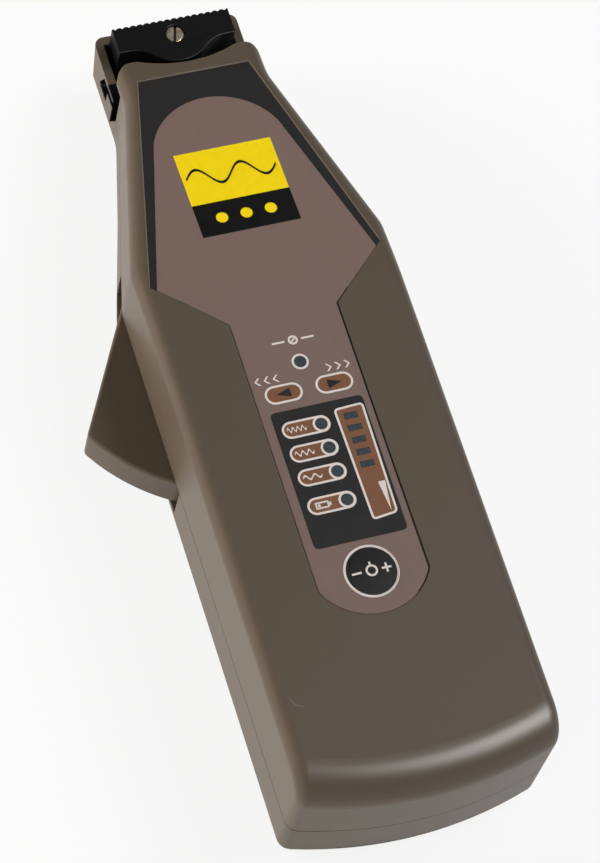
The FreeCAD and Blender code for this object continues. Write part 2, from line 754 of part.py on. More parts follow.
def front_shell(form, inner):
    above = box("front_zone", ("-body_width", "body_width"), ("-2 * butt_reach", PAST),
                ("parting_height", "2 * body_depth"))
    outer = common("front_outer", form, above)
    skin = cut("front_skin", outer, [inner])
    posts = []
    for n, (x, y) in enumerate(case_screw_places()):
        posts.append(cylinder("front_boss_%d" % n, x, y, "parting_height", "boss_radius", "body_depth"))
    for n, (x, y) in enumerate(board_screw_places()):
        posts.append(cylinder("board_post_%d" % n, x, y, BOARD_TOP, "board_post", "body_depth"))
    posts.append(cylinder("pivot_post", PIVOT_X, PIVOT_Y, "parting_height", "pivot_boss", "body_depth"))
    inside = common("front_posts", fuse("front_post_set", posts), outer)
    solid = fuse("front_solid", [skin, inside])

    dip = [
        ("dip_width / 2", LIP_END),
        ("-dip_width / 2", LIP_END, "((dip_width / 2) ^ 2 + dip_depth ^ 2) / (2 * dip_depth)", "right"),
    ]
    side_cut = [
        (SIDE_END, GAP_NEAR),
        (CHEEK_START, GAP_FAR),
        (PAST, GAP_FAR),
        (PAST, LIP_FLOOR),
        (SIDE_END, LIP_FLOOR),
    ]
    tools = [prism("lip_cut", "XY", [rounded_end(LIP_END, "lip_corner", dip)], "2 * body_depth")]
    tools.append(prism("side_wall_cut", "YZ", [side_cut], "2 * body_width", symmetric=True))
    tools.append(label_layer("label_pocket", "label_recess", None, "loose"))
    under = FACE_UNDER + " - wall"
    tools += lamp_holes("face_hole", under, "body_depth", "loose")
    for n, (x, y) in enumerate(direction_places()):
        tools.append(box("face_arrow_%d" % n, span(x, "direction_length + 2 * loose"),
                         span(y, "level_height + 2 * loose"), (under, "body_depth")))
    below = "parting_height - wall"
    for n, (x, y) in enumerate(case_screw_places()):
        tools.append(cylinder("front_screw_hole_%d" % n, x, y, below, "case_screw_radius + seat",
                              "case_thread + 2 * wall"))
    for n, (x, y) in enumerate(board_screw_places()):
        tools.append(cylinder("post_hole_%d" % n, x, y, BOARD_TOP + " - wall", "board_screw_radius + seat",
                              "board_thread + 1.5 * wall"))
    tools.append(cylinder("post_pin_hole", PIVOT_X, PIVOT_Y, below, "pin_radius + seat",
                          "pin_hold + wall + gap"))
    return node(cut("front_shell", solid, tools), "front_shell")


def door_profile(margin, low):
    """Section of the battery door across X, grown by a margin."""
    half = "(door_width / 2 + %s)" % margin
    tongue = "(door_width / 2 + door_tongue + %s)" % margin
    shelf = "(door_sink + door_thickness / 2 - %s)" % margin
    high = "(%s + %s)" % (DOOR_TOP, margin)
    return [
        (half, low), (half, shelf), (tongue, shelf), (tongue, high),
        ("-" + tongue, high), ("-" + tongue, shelf), ("-" + half, shelf), ("-" + half, low),
    ]


def fibre_slot():
    """The way that a fibre is led in: down the gap, over the finger and into its pocket."""
    start = "(%s + finger_length)" % CHEEK_START
    end = "(%s + pocket_length)" % start
    low = "(parting_height - pocket_drop)"
    high = "(%s - slot_bar)" % CHEEK_TOP
    path = [
        (SIDE_END, GAP_NEAR),
        (CHEEK_START, GAP_FAR),
        (CHEEK_START, SLOT_FINGER),
        (start, SLOT_FINGER),
        (start, low),
        (end + " - pocket_round", low),
        (end, low + " + pocket_round", "pocket_round", "left"),
        (end + " - pocket_slant", high),
        (SIDE_END, high),
    ]
    return prism("fibre_slot", "YZ", [path], "2 * body_width", symmetric=True)


def bay_ribs():
    """Walls and floor round the battery."""
    low = "(battery_width / 2 + bay_side)"
    high = "(battery_width / 2 + bay_side + wall)"
    length = (CAVITY_BACK + " - wall", BAY_FRONT + " + wall")
    tall = ("0", "parting_height")
    floor_width = "door_width + 2 * door_tongue + 3 * wall"
    return [
        box("bay_floor", span("0", floor_width), length, ("0", DOOR_TOP + " + gap + wall / 2")),
        box("bay_left", ("-" + high, "-" + low), length, tall),
        box("bay_right", (low, high), length, tall),
        box("bay_end", ("-" + high, high), (BAY_FRONT, length[1]), tall),
    ]


def rear_shell(form, inner):
    zone = [
        ("-2 * butt_reach", "-wall"),
        (PAST, "-wall"),
        (PAST, CHEEK_TOP),
        (CHEEK_START, CHEEK_TOP),
        (CHEEK_START, "parting_height"),
        ("-2 * butt_reach", "parting_height"),
    ]
    outer = common("rear_outer", form, prism("rear_zone", "YZ", [zone], "2 * body_width", symmetric=True))
    skin = cut("rear_skin", outer, [inner])

    guide_end = GUIDE_Y + " + guide_thickness"
    ribs = bay_ribs()
    for n, (x, y) in enumerate(case_screw_places()):
        ribs.append(cylinder("rear_boss_%d" % n, x, y, "0", "boss_radius", "parting_height"))
    ribs.append(cylinder("pivot_boss", PIVOT_X, PIVOT_Y, "0", "pivot_boss", LEVER_FLOOR + " - gap"))
    ribs.append(box("guide_wall", span("0", "bar_width + 4 * wall"), (GUIDE_Y, guide_end),
                    ("0", ROD_Z + " + guide_rise")))
    inside = common("rear_ribs", fuse("rear_rib_set", ribs), form)
    solid = fuse("rear_solid", [skin, inside])

    bay_half = "(battery_width / 2 + bay_side)"
    rod_room = "(rod_radius + running)"
    tools = [fibre_slot(), seam_groove()]
    leaning_end = prism("head_end", "XY", [rounded_end(END_FOOT, "head_corner")], "2 * body_depth")
    leaning_end.DirMode = "Custom"
    leaning_end.Dir = Vector(0, mm("tan(end_lean)"), 1)
    tools.append(leaning_end)
    tools.append(box("lever_slot", ("-body_width", "-%s + slot_reach" % HALF),
                     ("%s - sqrt(lever_reach ^ 2 - %s ^ 2) - slot_tail" % (PIVOT_Y, PIVOT_INSET),
                      "%s + %s * sin(lever_angle) + slot_head" % (PIVOT_Y, LEVER_OFFSET)),
                     (LEVER_FLOOR + " - gap", "body_depth")))
    tools.append(prism("door_channel", "XZ", [door_profile("gap", "-wall")], "2 * butt_reach",
                       BAY_FRONT + " + door_lap"))
    tools.append(box("bay_mouth", ("-" + bay_half, bay_half), (BAY_BACK, BAY_FRONT), ("0", "parting_height")))
    tools.append(box("rod_slot", ("-" + rod_room, rod_room), (GUIDE_Y + " - wall", guide_end + " + wall"),
                     (ROD_Z, "body_depth")))
    tools.append(cylinder("rod_bore", "0", GUIDE_Y + " - wall", ROD_Z, rod_room, "guide_thickness + 2 * wall",
                          ALONG_Y))
    for n, (x, y) in enumerate(case_screw_places()):
        tools.append(cylinder("rear_screw_hole_%d" % n, x, y, "-wall", "case_screw_radius + seat",
                              "2 * parting_height"))
        tools.append(cylinder("rear_screw_seat_%d" % n, x, y, "-wall", "case_screw_head + gap",
                              "parting_height - case_grip + wall"))
    tools.append(cylinder("boss_pin_hole", PIVOT_X, PIVOT_Y, "wall / 2", "pin_radius + seat", LEVER_TOP))
    tools.append(cylinder("block_screw_hole", "0", SCREW_Y, "head_rise + screw_stop - loose",
                          "screw_shank + seat", "body_depth"))
    return node(cut("rear_shell", solid, tools), "rear_shell")


def face_label():
    sheet_layer = label_layer("label_sheet", "label_recess", "label_recess - label_thickness", "0")
    holes = lamp_holes("label_hole", FACE_UNDER, "body_depth + wall", "running")
    return node(cut("face_label", sheet_layer, holes), "face_label")


# Electronics

def circuit_board():
    plate = box("board_plate", span("0", "board_width"), ("-board_back", "board_front"),
                (BOARD_UNDER, BOARD_TOP))
    holes = []
    for n, (x, y) in enumerate(board_screw_places()):
        holes.append(cylinder("board_hole_%d" % n, x, y, BOARD_UNDER + " - wall",
                              "board_screw_radius + loose", "board_thickness + 2 * wall"))
    return node(cut("circuit_board", plate, holes), "circuit_board")


def board_chips():
    """Amplifier, controller and regulator under the board."""
    chips = []
    for n, (x, y, width, length) in enumerate(CHIPS):
        chips.append(box("chip_%d" % n, span(x, width), span(y, length),
                         (BOARD_UNDER + " - chip_height", BOARD_UNDER)))
    return node(group("board_chips", chips), "board_chips")


def round_lamp(name, x, y):
    lens = cylinder(name + "_lens", x, y, BOARD_TOP, "lamp_radius", "%s - %s" % (LABEL_TOP, BOARD_TOP))
    rim = cylinder(name + "_rim", x, y, BOARD_TOP, "lamp_radius + lamp_rim", "lamp_rim_height")
    return fuse(name, [lens, rim])


def lamps():
    places = lamp_places()
    node(round_lamp("no_signal_lamp", *places[0]), "no_signal_lamp")
    column = [round_lamp("frequency_lamp_%d" % n, x, y) for n, (x, y) in enumerate(places[1:])]
    node(group("frequency_lamps", column), "frequency_lamps")
    arrows = []
    for n, (x, y) in enumerate(direction_places()):
        arrows.append(box("direction_lamp_%d" % n, span(x, "direction_length"), span(y, "level_height"),
                          (BOARD_TOP, LABEL_FLOOR + " - loose")))
    node(group("direction_lamps", arrows), "direction_lamps")
    bars = []
    for n, (x, y) in enumerate(level_places()):
        bars.append(box("level_lamp_%d" % n, span(x, "level_length"), span(y, "level_height"),
                        (BOARD_TOP, LABEL_TOP)))
    node(group("level_lamps", bars), "level_lamps")


def adjust_button():
    body = new_body("adjust_button")
    rim = "body_depth + button_proud"
    flange_top = "%s - gap" % FACE_UNDER
    flange_low = "%s - gap - flange_thickness" % FACE_UNDER
    stem_low = "%s + switch_height + running + button_travel" % BOARD_TOP
    crown = "(button_radius ^ 2 + button_crown ^ 2) / (2 * button_crown)"
    profile = [
        ("0", stem_low),
        ("stem_radius", stem_low),
        ("stem_radius", flange_low),
        ("button_radius + button_flange", flange_low),
        ("button_radius + button_flange", flange_top),
        ("button_radius", flange_top),
        ("button_radius", rim),
        ("0", rim + " + button_crown", crown, "left"),
    ]
    revolve(body, "button_turned", [profile])
    place(body, y="-button_y")
    return node(body, "adjust_button")


def button_switch():
    y = span("-button_y", "switch_size")
    case = box("switch_body", span("0", "switch_size"), y, (BOARD_TOP, BOARD_TOP + " + switch_case"))
    tip = cylinder("switch_plunger", "0", "-button_y", BOARD_TOP, "switch_tip", "switch_height")
    return node(fuse("button_switch", [case, tip]), "button_switch")


# Trigger, plunger and jaw

def trigger_lever():
    """Drawn as it lies when squeezed, with its grip edge along Y, then turned out to rest."""
    body = new_body("trigger_lever")
    tall = "%s - %s" % (LEVER_TOP, LEVER_FLOOR)
    tip_y = "-sqrt(lever_reach ^ 2 - %s ^ 2)" % LEVER_OFFSET
    tail_angle = "(180 deg + acos(%s / lever_reach) + lever_tail * 1 deg)" % LEVER_OFFSET
    fan = [
        ("-" + LEVER_OFFSET, "lever_front"),
        ("-" + LEVER_OFFSET, tip_y),
        ("lever_reach * cos(%s)" % tail_angle, "lever_reach * sin(%s)" % tail_angle, "lever_reach", "left"),
        ("0", "-lever_boss"),
        ("0", "lever_boss"),
    ]
    pad(body, "lever_fan", "XY", [fan], tall, LEVER_FLOOR)
    pad(body, "lever_hub", "XY", [["circle", "0", "0", "lever_boss"]], tall, LEVER_FLOOR)
    lean = "((lever_angle - squeeze_angle / 2) * 1 deg)"
    nose_x, nose_y = "cam_arm * cos(%s)" % lean, "cam_arm * sin(%s)" % lean
    side_x, side_y = "cam_web / 2 * sin(%s)" % lean, "cam_web / 2 * cos(%s)" % lean
    arm = [
        ("-" + side_x, side_y),
        (side_x, "-" + side_y),
        (nose_x + " + " + side_x, nose_y + " - " + side_y),
        (nose_x + " - " + side_x, nose_y + " + " + side_y),
    ]
    pad(body, "lever_cam", "XY", [arm], tall, LEVER_FLOOR)
    pad(body, "lever_nose", "XY", [["circle", nose_x, nose_y, "cam_nose"]], tall, LEVER_FLOOR)
    bored = pocket(body, "lever_bore", "XY", [["circle", "0", "0", "pin_radius + running"]],
                   "2 * parting_height", LEVER_TOP)

    def tip(edge):
        return all_at(edge, "x", "-" + LEVER_OFFSET) and all_at(edge, "y", tip_y)

    def grip(edge):
        flat = all_at(edge, "z", LEVER_TOP) or all_at(edge, "z", LEVER_FLOOR)
        return flat and all_at(edge, "x", "-" + LEVER_OFFSET)

    blunt = round_edges(body, "lever_tip", bored, "2 * lever_edge", tip)
    round_edges(body, "lever_grip", blunt, "lever_edge", grip)
    place(body, PIVOT_X, PIVOT_Y, turn=about_z("lever_angle"))
    return node(body, "trigger_lever")


def trigger_pin():
    pin = cylinder("trigger_pin", PIVOT_X, PIVOT_Y, "wall / 2", "pin_radius",
                   "parting_height + pin_hold - wall / 2")
    return node(pin, "trigger_pin")


def plunger_bar():
    body = new_body("plunger_bar")
    rod_start = "(%s - spring_length)" % GUIDE_Y
    foot_floor = LEVER_FLOOR + " + foot_lift"
    foot_end = FOOT_Y + " + foot_length"
    side = [
        (FOOT_Y, foot_floor),
        (foot_end, foot_floor),
        (foot_end, BAR_FLOOR),
        (rod_start, BAR_FLOOR),
        (rod_start, BAR_FLOOR + " + bar_height"),
        (FOOT_Y, BAR_FLOOR + " + bar_height"),
    ]
    pad(body, "bar_side", "YZ", [side], "bar_width", midplane=True)
    relief = box_outline("-bar_width", "-foot_side", FOOT_Y + " - wall", foot_end + " + wall")
    pocket(body, "bar_relief", "XY", [relief], "body_depth", BAR_FLOOR)
    rod_length = "%s + rod_hold - %s" % (JAW_BACK, rod_start)
    rod_end = "-(%s) - (%s)" % (rod_start, rod_length)
    pad(body, "bar_rod", "XZ", [["circle", "0", ROD_Z, "rod_radius"]], rod_length, rod_end)
    return node(body, "plunger_bar")


def return_spring():
    """Compression spring on the rod, from the bar's shoulder to the guide wall."""
    coil = mm("rod_radius + spring_room + spring_wire")
    wire = mm("spring_wire")
    rise = mm("spring_length - 2 * spring_wire - 2 * running")
    path = Part.makeHelix(rise / mm("spring_turns"), rise, coil)
    ring = Part.Wire(Part.makeCircle(wire, Vector(coil, 0, 0), Vector(0, 1, 0)))
    spring = doc.addObject("Part::Feature", "return_spring")
    spring.Shape = Part.Wire(path).makePipeShell([ring], True, True)
    start = mm("%s - spring_length + spring_wire + running" % GUIDE_Y)
    spring.Placement = FreeCAD.Placement(Vector(0, start, mm(ROD_Z)), ALONG_Y)
    return node(spring, "return_spring")


def wave(lobe):
    """The block's clamping edge from left to right: crest, lobe and crest again in tangent arcs."""
    crest = "(%s + wave_rise)" % lobe
    between = "(%s + wave_rise / 2)" % lobe
    return [
        ("-wave_half", crest),
        ("-wave_half / 2", between, WAVE_RADIUS, "right"),
        ("wave_half / 2", between, WAVE_RADIUS, "left"),
        ("wave_half", crest, WAVE_RADIUS, "right"),
    ]


def wave_back(lobe):
    """The jaw's hollow edge, the same wave from right to left."""
    crest = "(%s + wave_rise)" % lobe
    between = "(%s + wave_rise / 2)" % lobe
    return [
        ("wave_half", crest),
        ("wave_half / 2", between, WAVE_RADIUS, "left"),
        ("-wave_half / 2", between, WAVE_RADIUS, "right"),
        ("-wave_half", crest, WAVE_RADIUS, "left"),
    ]


def head_block():
    body = new_body("head_block")
    crest = "(%s + wave_rise)" % BLOCK_LOBE
    outline = wave(BLOCK_LOBE) + [
        (BLOCK_HALF, crest),
        (BLOCK_HALF, BLOCK_END),
        ("-" + BLOCK_HALF, BLOCK_END),
        ("-" + BLOCK_HALF, crest),
    ]
    pad(body, "block_plan", "XY", [outline], "%s - %s" % (BLOCK_FRONT, HEAD_FLOOR), HEAD_FLOOR)
    pitch = "(block_width / tooth_count)"
    teeth = []
    for n in range(int(mm("tooth_count"))):
        middle = "(-%s + (%d + 1 / 2) * %s)" % (BLOCK_HALF, n, pitch)
        teeth.append([
            (middle, BLOCK_END + " - tooth_depth"),
            (middle + " + tooth_share * " + pitch, BLOCK_END + " + running"),
            (middle + " - tooth_share * " + pitch, BLOCK_END + " + running"),
        ])
    pocket(body, "block_teeth", "XY", teeth, "body_depth", "body_depth")
    lean = [
        (BLOCK_END, CHEEK_TOP),
        ("%s - %s * tan(end_lean)" % (BLOCK_END, CHEEK_TOP), "0"),
        (PAST, "0"),
        (PAST, CHEEK_TOP),
    ]
    pocket(body, "block_lean", "YZ", [lean], "2 * body_width", midplane=True)
    sunk = ["circle", "0", SCREW_Y, "screw_head + gap"]
    bore = ["circle", "0", SCREW_Y, "screw_shank + seat"]
    pocket(body, "block_seat", "XY", [sunk], "screw_seat", BLOCK_FRONT)
    pocket(body, "block_hole", "XY", [bore], "body_depth", BLOCK_FRONT)
    eyes = [["circle", side + " * diode_spread / 2", ROD_Z, "diode_radius + seat"] for side in ("-1", "1")]
    pocket(body, "block_eyes", "XZ", eyes, "block_height - diode_wall", "-" + BLOCK_LOBE)
    return node(body, "head_block")


def block_screw():
    body = new_body("block_screw")
    end = "head_rise + screw_stop"
    head_low = BLOCK_FRONT + " - screw_seat"
    head_top = BLOCK_FRONT + " - screw_sink"
    crown = "(screw_head ^ 2 + screw_crown ^ 2) / (2 * screw_crown)"
    profile = [
        ("0", end),
        ("screw_shank", end),
        ("screw_shank", head_low),
        ("screw_head", head_low),
        ("screw_head", head_top),
        ("0", head_top + " + screw_crown", crown, "left"),
    ]
    revolve(body, "screw_turned", [profile])
    notch = box_outline("-screw_slot / 2", "screw_slot / 2", "-2 * screw_head", "2 * screw_head")
    pocket(body, "screw_notch", "XY", [notch], "screw_slot_depth", head_top + " + screw_crown")
    place(body, y=SCREW_Y, turn=about_z("screw_turn"))
    return node(body, "block_screw")


def photodiodes():
    """Two detectors in the block, looking down at the bent fibre."""
    diodes = []
    start = "%s - diode_wall - diode_length" % BLOCK_END
    for n, side in enumerate(("-1", "1")):
        x = side + " * diode_spread / 2"
        diodes.append(cylinder("photodiode_%d" % n, x, start, ROD_Z, "diode_radius", "diode_length", ALONG_Y))
    return node(group("photodiodes", diodes), "photodiodes")


def clamp_jaw():
    body = new_body("clamp_jaw")
    crest = "(%s + wave_rise)" % JAW_LOBE
    floor = "(%s + jaw_lift)" % HEAD_FLOOR
    outline = wave_back(JAW_LOBE) + [
        ("-" + BLOCK_HALF, crest),
        ("-" + BLOCK_HALF, JAW_BACK),
        (BLOCK_HALF, JAW_BACK),
        (BLOCK_HALF, crest),
    ]
    pad(body, "jaw_plan", "XY", [outline], "%s - jaw_drop - %s" % (LIP_FLOOR, floor), floor)
    pocket(body, "jaw_socket", "XZ", [["circle", "0", ROD_Z, "rod_radius + seat"]], "rod_hold + loose",
           "-" + JAW_BACK)
    return node(body, "clamp_jaw")


# Battery bay

def battery_door(form):
    plate = prism("door_plate", "XZ", [door_profile("0", "door_sink")], "2 * butt_reach",
                  BAY_FRONT + " + door_lap - gap")
    trimmed = common("door_trimmed", plate, form)
    ridges = []
    for n in range(RIDGES):
        y = "-butt_reach + ridge_start + %d * ridge_pitch" % n
        ridges.append(box("door_ridge_%d" % n, span("0", "door_width / 2"), span(y, "ridge_pitch / 2"),
                          ("0", "door_sink + ridge_depth")))
    return node(cut("battery_door", trimmed, ridges), "battery_door")


def battery():
    case = box("battery_case", span("0", "battery_width"), (BAY_BACK + " + bay_play", BATTERY_FRONT),
               (BATTERY_FLOOR, BATTERY_FLOOR + " + battery_depth"))
    middle = "%s + battery_depth / 2" % BATTERY_FLOOR
    plus = cylinder("battery_plus", "-stud_spread / 2", BATTERY_FRONT, middle, "stud_small", "stud_height",
                    ALONG_Y)
    minus = cylinder("battery_minus", "stud_spread / 2", BATTERY_FRONT, middle, "stud_large", "stud_height",
                     ALONG_Y)
    return node(fuse("battery", [case, plus, minus]), "battery")


def battery_snap():
    start = "%s + stud_height" % BATTERY_FRONT
    middle = "%s + battery_depth / 2" % BATTERY_FLOOR
    cap = box("snap_cap", span("0", "battery_width - bay_side"), (start, start + " + snap_thickness"),
              span(middle, "snap_height"))
    return node(cap, "battery_snap")


# Fasteners

def case_screws():
    screws = []
    low = "parting_height - case_grip - case_head_height"
    for n, (x, y) in enumerate(case_screw_places()):
        head = cylinder("case_head_%d" % n, x, y, low, "case_screw_head", "case_head_height")
        shank = cylinder("case_shank_%d" % n, x, y, low, "case_screw_radius",
                         "case_head_height + case_grip + case_thread")
        screws.append(fuse("case_screw_%d" % n, [head, shank]))
    return node(group("case_screws", screws), "case_screws")


def board_screws():
    screws = []
    low = BOARD_UNDER + " - board_head_height"
    for n, (x, y) in enumerate(board_screw_places()):
        head = cylinder("board_head_%d" % n, x, y, low, "board_screw_head", "board_head_height")
        shank = cylinder("board_shank_%d" % n, x, y, low, "board_screw_radius",
                         "board_head_height + board_thickness + board_thread")
        screws.append(fuse("board_screw_%d" % n, [head, shank]))
    return node(group("board_screws", screws), "board_screws")


def check():
    """Stop if any object failed or any sub-part isn't a sound solid."""
    for thing in doc.Objects:
        bad = [state for state in thing.State if state in ("Invalid", "Error")]
        if bad:
            raise RuntimeError("%s is %s" % (thing.Name, bad))
    for thing in NODES:
        shape = thing.Shape
        if shape.isNull() or not shape.isValid() or not shape.Solids:
            raise RuntimeError("%s has no sound shape" % thing.Label)


form = housing_form()
inner = inner_space()
front_shell(form, inner)
rear_shell(form, inner)
face_label()
circuit_board()
board_chips()
lamps()
adjust_button()
button_switch()
trigger_lever()
trigger_pin()
plunger_bar()
return_spring()
head_block()
block_screw()
photodiodes()
clamp_jaw()
battery_door(form)
battery()
battery_snap()
case_screws()
board_screws()
doc.recompute()
check()

os.makedirs("parts", exist_ok=True)
for thing in NODES:
    thing.Shape.exportStep("parts/%s.step" % thing.Label)
    print("%-18s %2d solids %10.1f mm3" % (thing.Label, len(thing.Shape.Solids), thing.Shape.Volume))
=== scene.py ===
"""Looks of a handheld optical fibre identifier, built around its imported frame.

Lengths are in metres, in the frame's own axes: X across the instrument, Y towards the head and
Z out of the face, with the origin on the rear face at the middle of the grip.
"""
import math

import bmesh
import bpy
from bpy.props import FloatProperty, FloatVectorProperty, PointerProperty
from mathutils import Matrix, Vector
from mathutils.bvhtree import BVHTree


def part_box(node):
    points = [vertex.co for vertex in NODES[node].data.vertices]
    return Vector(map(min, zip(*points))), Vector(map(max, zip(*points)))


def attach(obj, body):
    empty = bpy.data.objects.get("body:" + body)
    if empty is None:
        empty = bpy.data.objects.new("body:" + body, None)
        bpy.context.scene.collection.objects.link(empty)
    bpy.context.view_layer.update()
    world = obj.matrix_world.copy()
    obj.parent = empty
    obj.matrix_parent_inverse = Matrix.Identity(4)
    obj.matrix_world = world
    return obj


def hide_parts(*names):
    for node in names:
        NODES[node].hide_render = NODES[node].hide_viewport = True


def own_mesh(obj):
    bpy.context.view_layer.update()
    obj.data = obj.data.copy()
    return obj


bl_info = {
    "name": "Fibre Identifier Looks",
    "version": (1, 0, 0),
    "blender": (4, 5, 0),
    "location": "View3D > Sidebar > Fibre Identifier",
    "description": "Finishes, printed label and stage of a handheld optical fibre identifier",
    "category": "Object",
}

MM = 0.001
MERGE = 0.001 * MM
SHARP_ANGLE = math.radians(40)
ROUND_STEPS = 48
CORNER_STEPS = 8
ARC_STEPS = 6
SWING_STEPS = 16
PRINT_CUTS = 5

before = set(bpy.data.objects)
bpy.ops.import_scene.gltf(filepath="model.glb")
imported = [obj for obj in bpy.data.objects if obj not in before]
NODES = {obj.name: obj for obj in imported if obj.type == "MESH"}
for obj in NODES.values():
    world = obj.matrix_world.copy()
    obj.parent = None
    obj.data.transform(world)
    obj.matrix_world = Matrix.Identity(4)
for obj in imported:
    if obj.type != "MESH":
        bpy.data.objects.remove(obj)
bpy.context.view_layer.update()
FACE_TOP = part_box("front_shell")[1].z
LABEL_HEAD, LABEL_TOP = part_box("face_label")[1].yz


# Settings that a user would change

def linear(level):
    """One sRGB level, from 0 to 255, as a linear value."""
    value = level / 255
    return value / 12.92 if value <= 0.04045 else ((value + 0.055) / 1.055) ** 2.4


def colour(name, description, *levels):
    """A colour, from its sRGB levels."""
    return FloatVectorProperty(
        name=name, description=description, subtype="COLOR", size=3, min=0, max=1,
        default=[linear(level) for level in levels])


def length(name, description, millimetres):
    """A length, from millimetres."""
    return FloatProperty(
        name=name, description=description, subtype="DISTANCE", unit="LENGTH",
        default=millimetres * MM)


def place(name, description, *millimetres):
    """A point in space, from millimetres."""
    return FloatVectorProperty(
        name=name, description=description, subtype="TRANSLATION", unit="LENGTH", size=3,
        default=[value * MM for value in millimetres])


def angle(name, description, degrees):
    """An angle, from degrees."""
    return FloatProperty(
        name=name, description=description, subtype="ANGLE", unit="ROTATION",
        default=math.radians(degrees))


def share(name, description, value):
    """A number from nought to one."""
    return FloatProperty(name=name, description=description, subtype="FACTOR", min=0, max=1, default=value)


def watts(name, description, value):
    """The power of a light."""
    return FloatProperty(
        name=name, description=description, subtype="POWER", unit="POWER", min=0, default=value)


class FinishColours(bpy.types.PropertyGroup):
    """Colours of the plastics, inks and metals"""
    housing: colour("Housing", "Moulded plastic of both shells and the trigger", 90, 79, 66)
    film: colour("Label film", "Field of the printed label", 125, 105, 98)
    # Painted highlight: the light strip round the label's head stands in for the lit wall of the label's
    # recess.
    rim: colour("Rim", "Worn edge round the label's head", 122, 110, 97)
    charcoal: colour("Charcoal ink", "Border of the label and the lamp panel", 42, 41, 41)
    pale: colour("Pale ink", "Outlines and marks", 228, 219, 214)
    brown: colour("Brown ink", "Pills and the level bar", 128, 88, 64)
    yellow: colour("Yellow ink", "Upper field of the two-colour sign", 252, 221, 16)
    black: colour("Black ink", "Lower field of the two-colour sign", 16, 17, 17)
    key: colour("Key", "Rubber of the button", 20, 20, 22)
    block: colour("Block", "Black plastic of the clamping head", 10, 10, 11)
    lens: colour("Lens", "Unlit lamp lenses", 62, 69, 75)
    nickel: colour("Nickel", "Plating of the block's screw", 205, 200, 186)
    tarnish: colour("Tarnish", "Stains on the nickel", 140, 112, 70)
    steel: colour("Steel", "Pin, spring and case screws", 178, 180, 184)
    laminate: colour("Laminate", "Circuit board", 36, 84, 52)
    battery: colour("Battery", "Sleeve of the battery", 60, 62, 70)


class LabelSizes(bpy.types.PropertyGroup):
    """Sizes and places of the print on the label"""
    ink: length("Ink", "Thickness of one layer of ink", 0.03)
    key_ink: length("Key ink", "Thickness of the ink on the button", 0.008)
    bend: length("Bend", "Where the face bends down to the neck", 57.5)
    slope: angle("Slope", "Fall of the neck's face", 5.75)
    wing_y: length("Wing", "Widest point of the label", 64.5)
    wing: length("Wing reach", "Half width of the label at its wings", 29.6)
    top_half: length("Top half", "Half width of the label's top edge", 14.65)
    field_foot: length("Field foot", "Half width of the field where its border ends", 28.1)
    field_foot_y: length("Field foot height", "Where the border ends", 63.13)
    field_head: length("Field head", "Half width of the field where its arch starts", 16.35)
    field_head_y: length("Field head height", "Where the arch starts", 104.6)
    arch_y: length("Arch", "Top of the field's arch", 115.6)
    # Width of the painted highlight round the label's head and of the painted shadow beside its right edge.
    rim: length("Rim", "Width of the worn edge and of the dark gap beside the label", 0.3)
    # Painted shadow: where the dark line beside the label's right edge starts.
    gap_shadow_x: length("Gap side", "How far right the dark gap starts", 8.5)
    sign: length("Sign", "Side of the two-colour sign", 25.2)
    sign_y: length("Sign height", "Middle of the sign", 87.7)
    sign_corner: length("Sign corner", "Rounding of the sign's fields", 0.2)
    sign_line: length("Sign line", "Width of the sign's wave", 0.8)
    panel_wide: length("Panel width", "Dark panel round the lamps", 23.3)
    panel_tall: length("Panel height", "Dark panel round the lamps", 36.3)
    panel_corner: length("Panel corner", "Rounding of the dark panel", 1.2)
    panel_x: length("Panel side", "Middle of the panel", 0.23)
    panel_y: length("Panel middle", "Middle of the panel", 6.8)
    bar_corner: length("Bar corner", "Rounding of the level bar", 1.1)
    pill_wide: length("Pill width", "Pills of the lamp column", 12.1)
    pill_tall: length("Pill height", "Pills of the lamp column", 4.5)
    pill_mark: length("Pill mark", "From a lamp to the mark beside it", 6.2)
    wave_wide: length("Wave width", "Waves on the pills", 4.8)
    case_wide: length("Battery width", "Battery on the last pill", 3.4)
    arrow_wide: length("Arrow pill width", "Pills of the two arrows", 9.4)
    arrow_tall: length("Arrow pill height", "Pills of the two arrows", 4.9)
    arrow_back: length("Arrow back", "From a pill's middle to its arrow's back", 1.7)
    arrow_tip: length("Arrow tip", "From a pill's middle to its arrow's tip", 1.9)
    arrow_half: length("Arrow half", "Half height of an arrow", 1.2)
    chevron_left: length("Left chevrons", "Middle of the left row", -9.2)
    chevron_right: length("Right chevrons", "Middle of the right row", 8.4)
    chevron_y: length("Chevron height", "Both rows of chevrons", 33.7)
    chevron_apart: length("Chevron spacing", "From one chevron to the next", 2.3)
    chevron_reach: length("Chevron reach", "From a chevron's back to its tip", 1.0)
    empty_y: length("Empty ring height", "Crossed ring between its dashes", 42.7)
    dash: length("Dash", "Length of the dashes beside the crossed ring", 3.2)
    dash_x: length("Dash side", "Middle of the dashes", 3.7)
    lamp_ring: length("Lamp ring", "Outer radius of the rings round the lamps", 2.1)
    lens: length("Lens", "Radius of the domed lenses", 1.5)
    lens_rise: length("Lens rise", "Height of the domed lenses", 0.16)
    window_wide: length("Window width", "Windows over the level lamps", 3.5)
    window_tall: length("Window height", "Windows over the level lamps", 1.7)
    window_corner: length("Window corner", "Rounding of the windows", 0.15)
    button_ring: length("Button ring", "Outer radius of the ring round the button", 6.72)
    button_apart: length("Button marks", "From the dial to the minus and the plus", 3.7)
    line: length("Line", "Width of the pale outlines", 0.55)
    ring: length("Ring", "Width of the ring round the button", 0.6)
    mark: length("Mark", "Width of the strokes of small marks", 0.52)
    mark_tall: length("Mark height", "Height of the small marks", 2.0)
    mark_corner: length("Mark corner", "Rounding of the strokes' ends", 0.05)


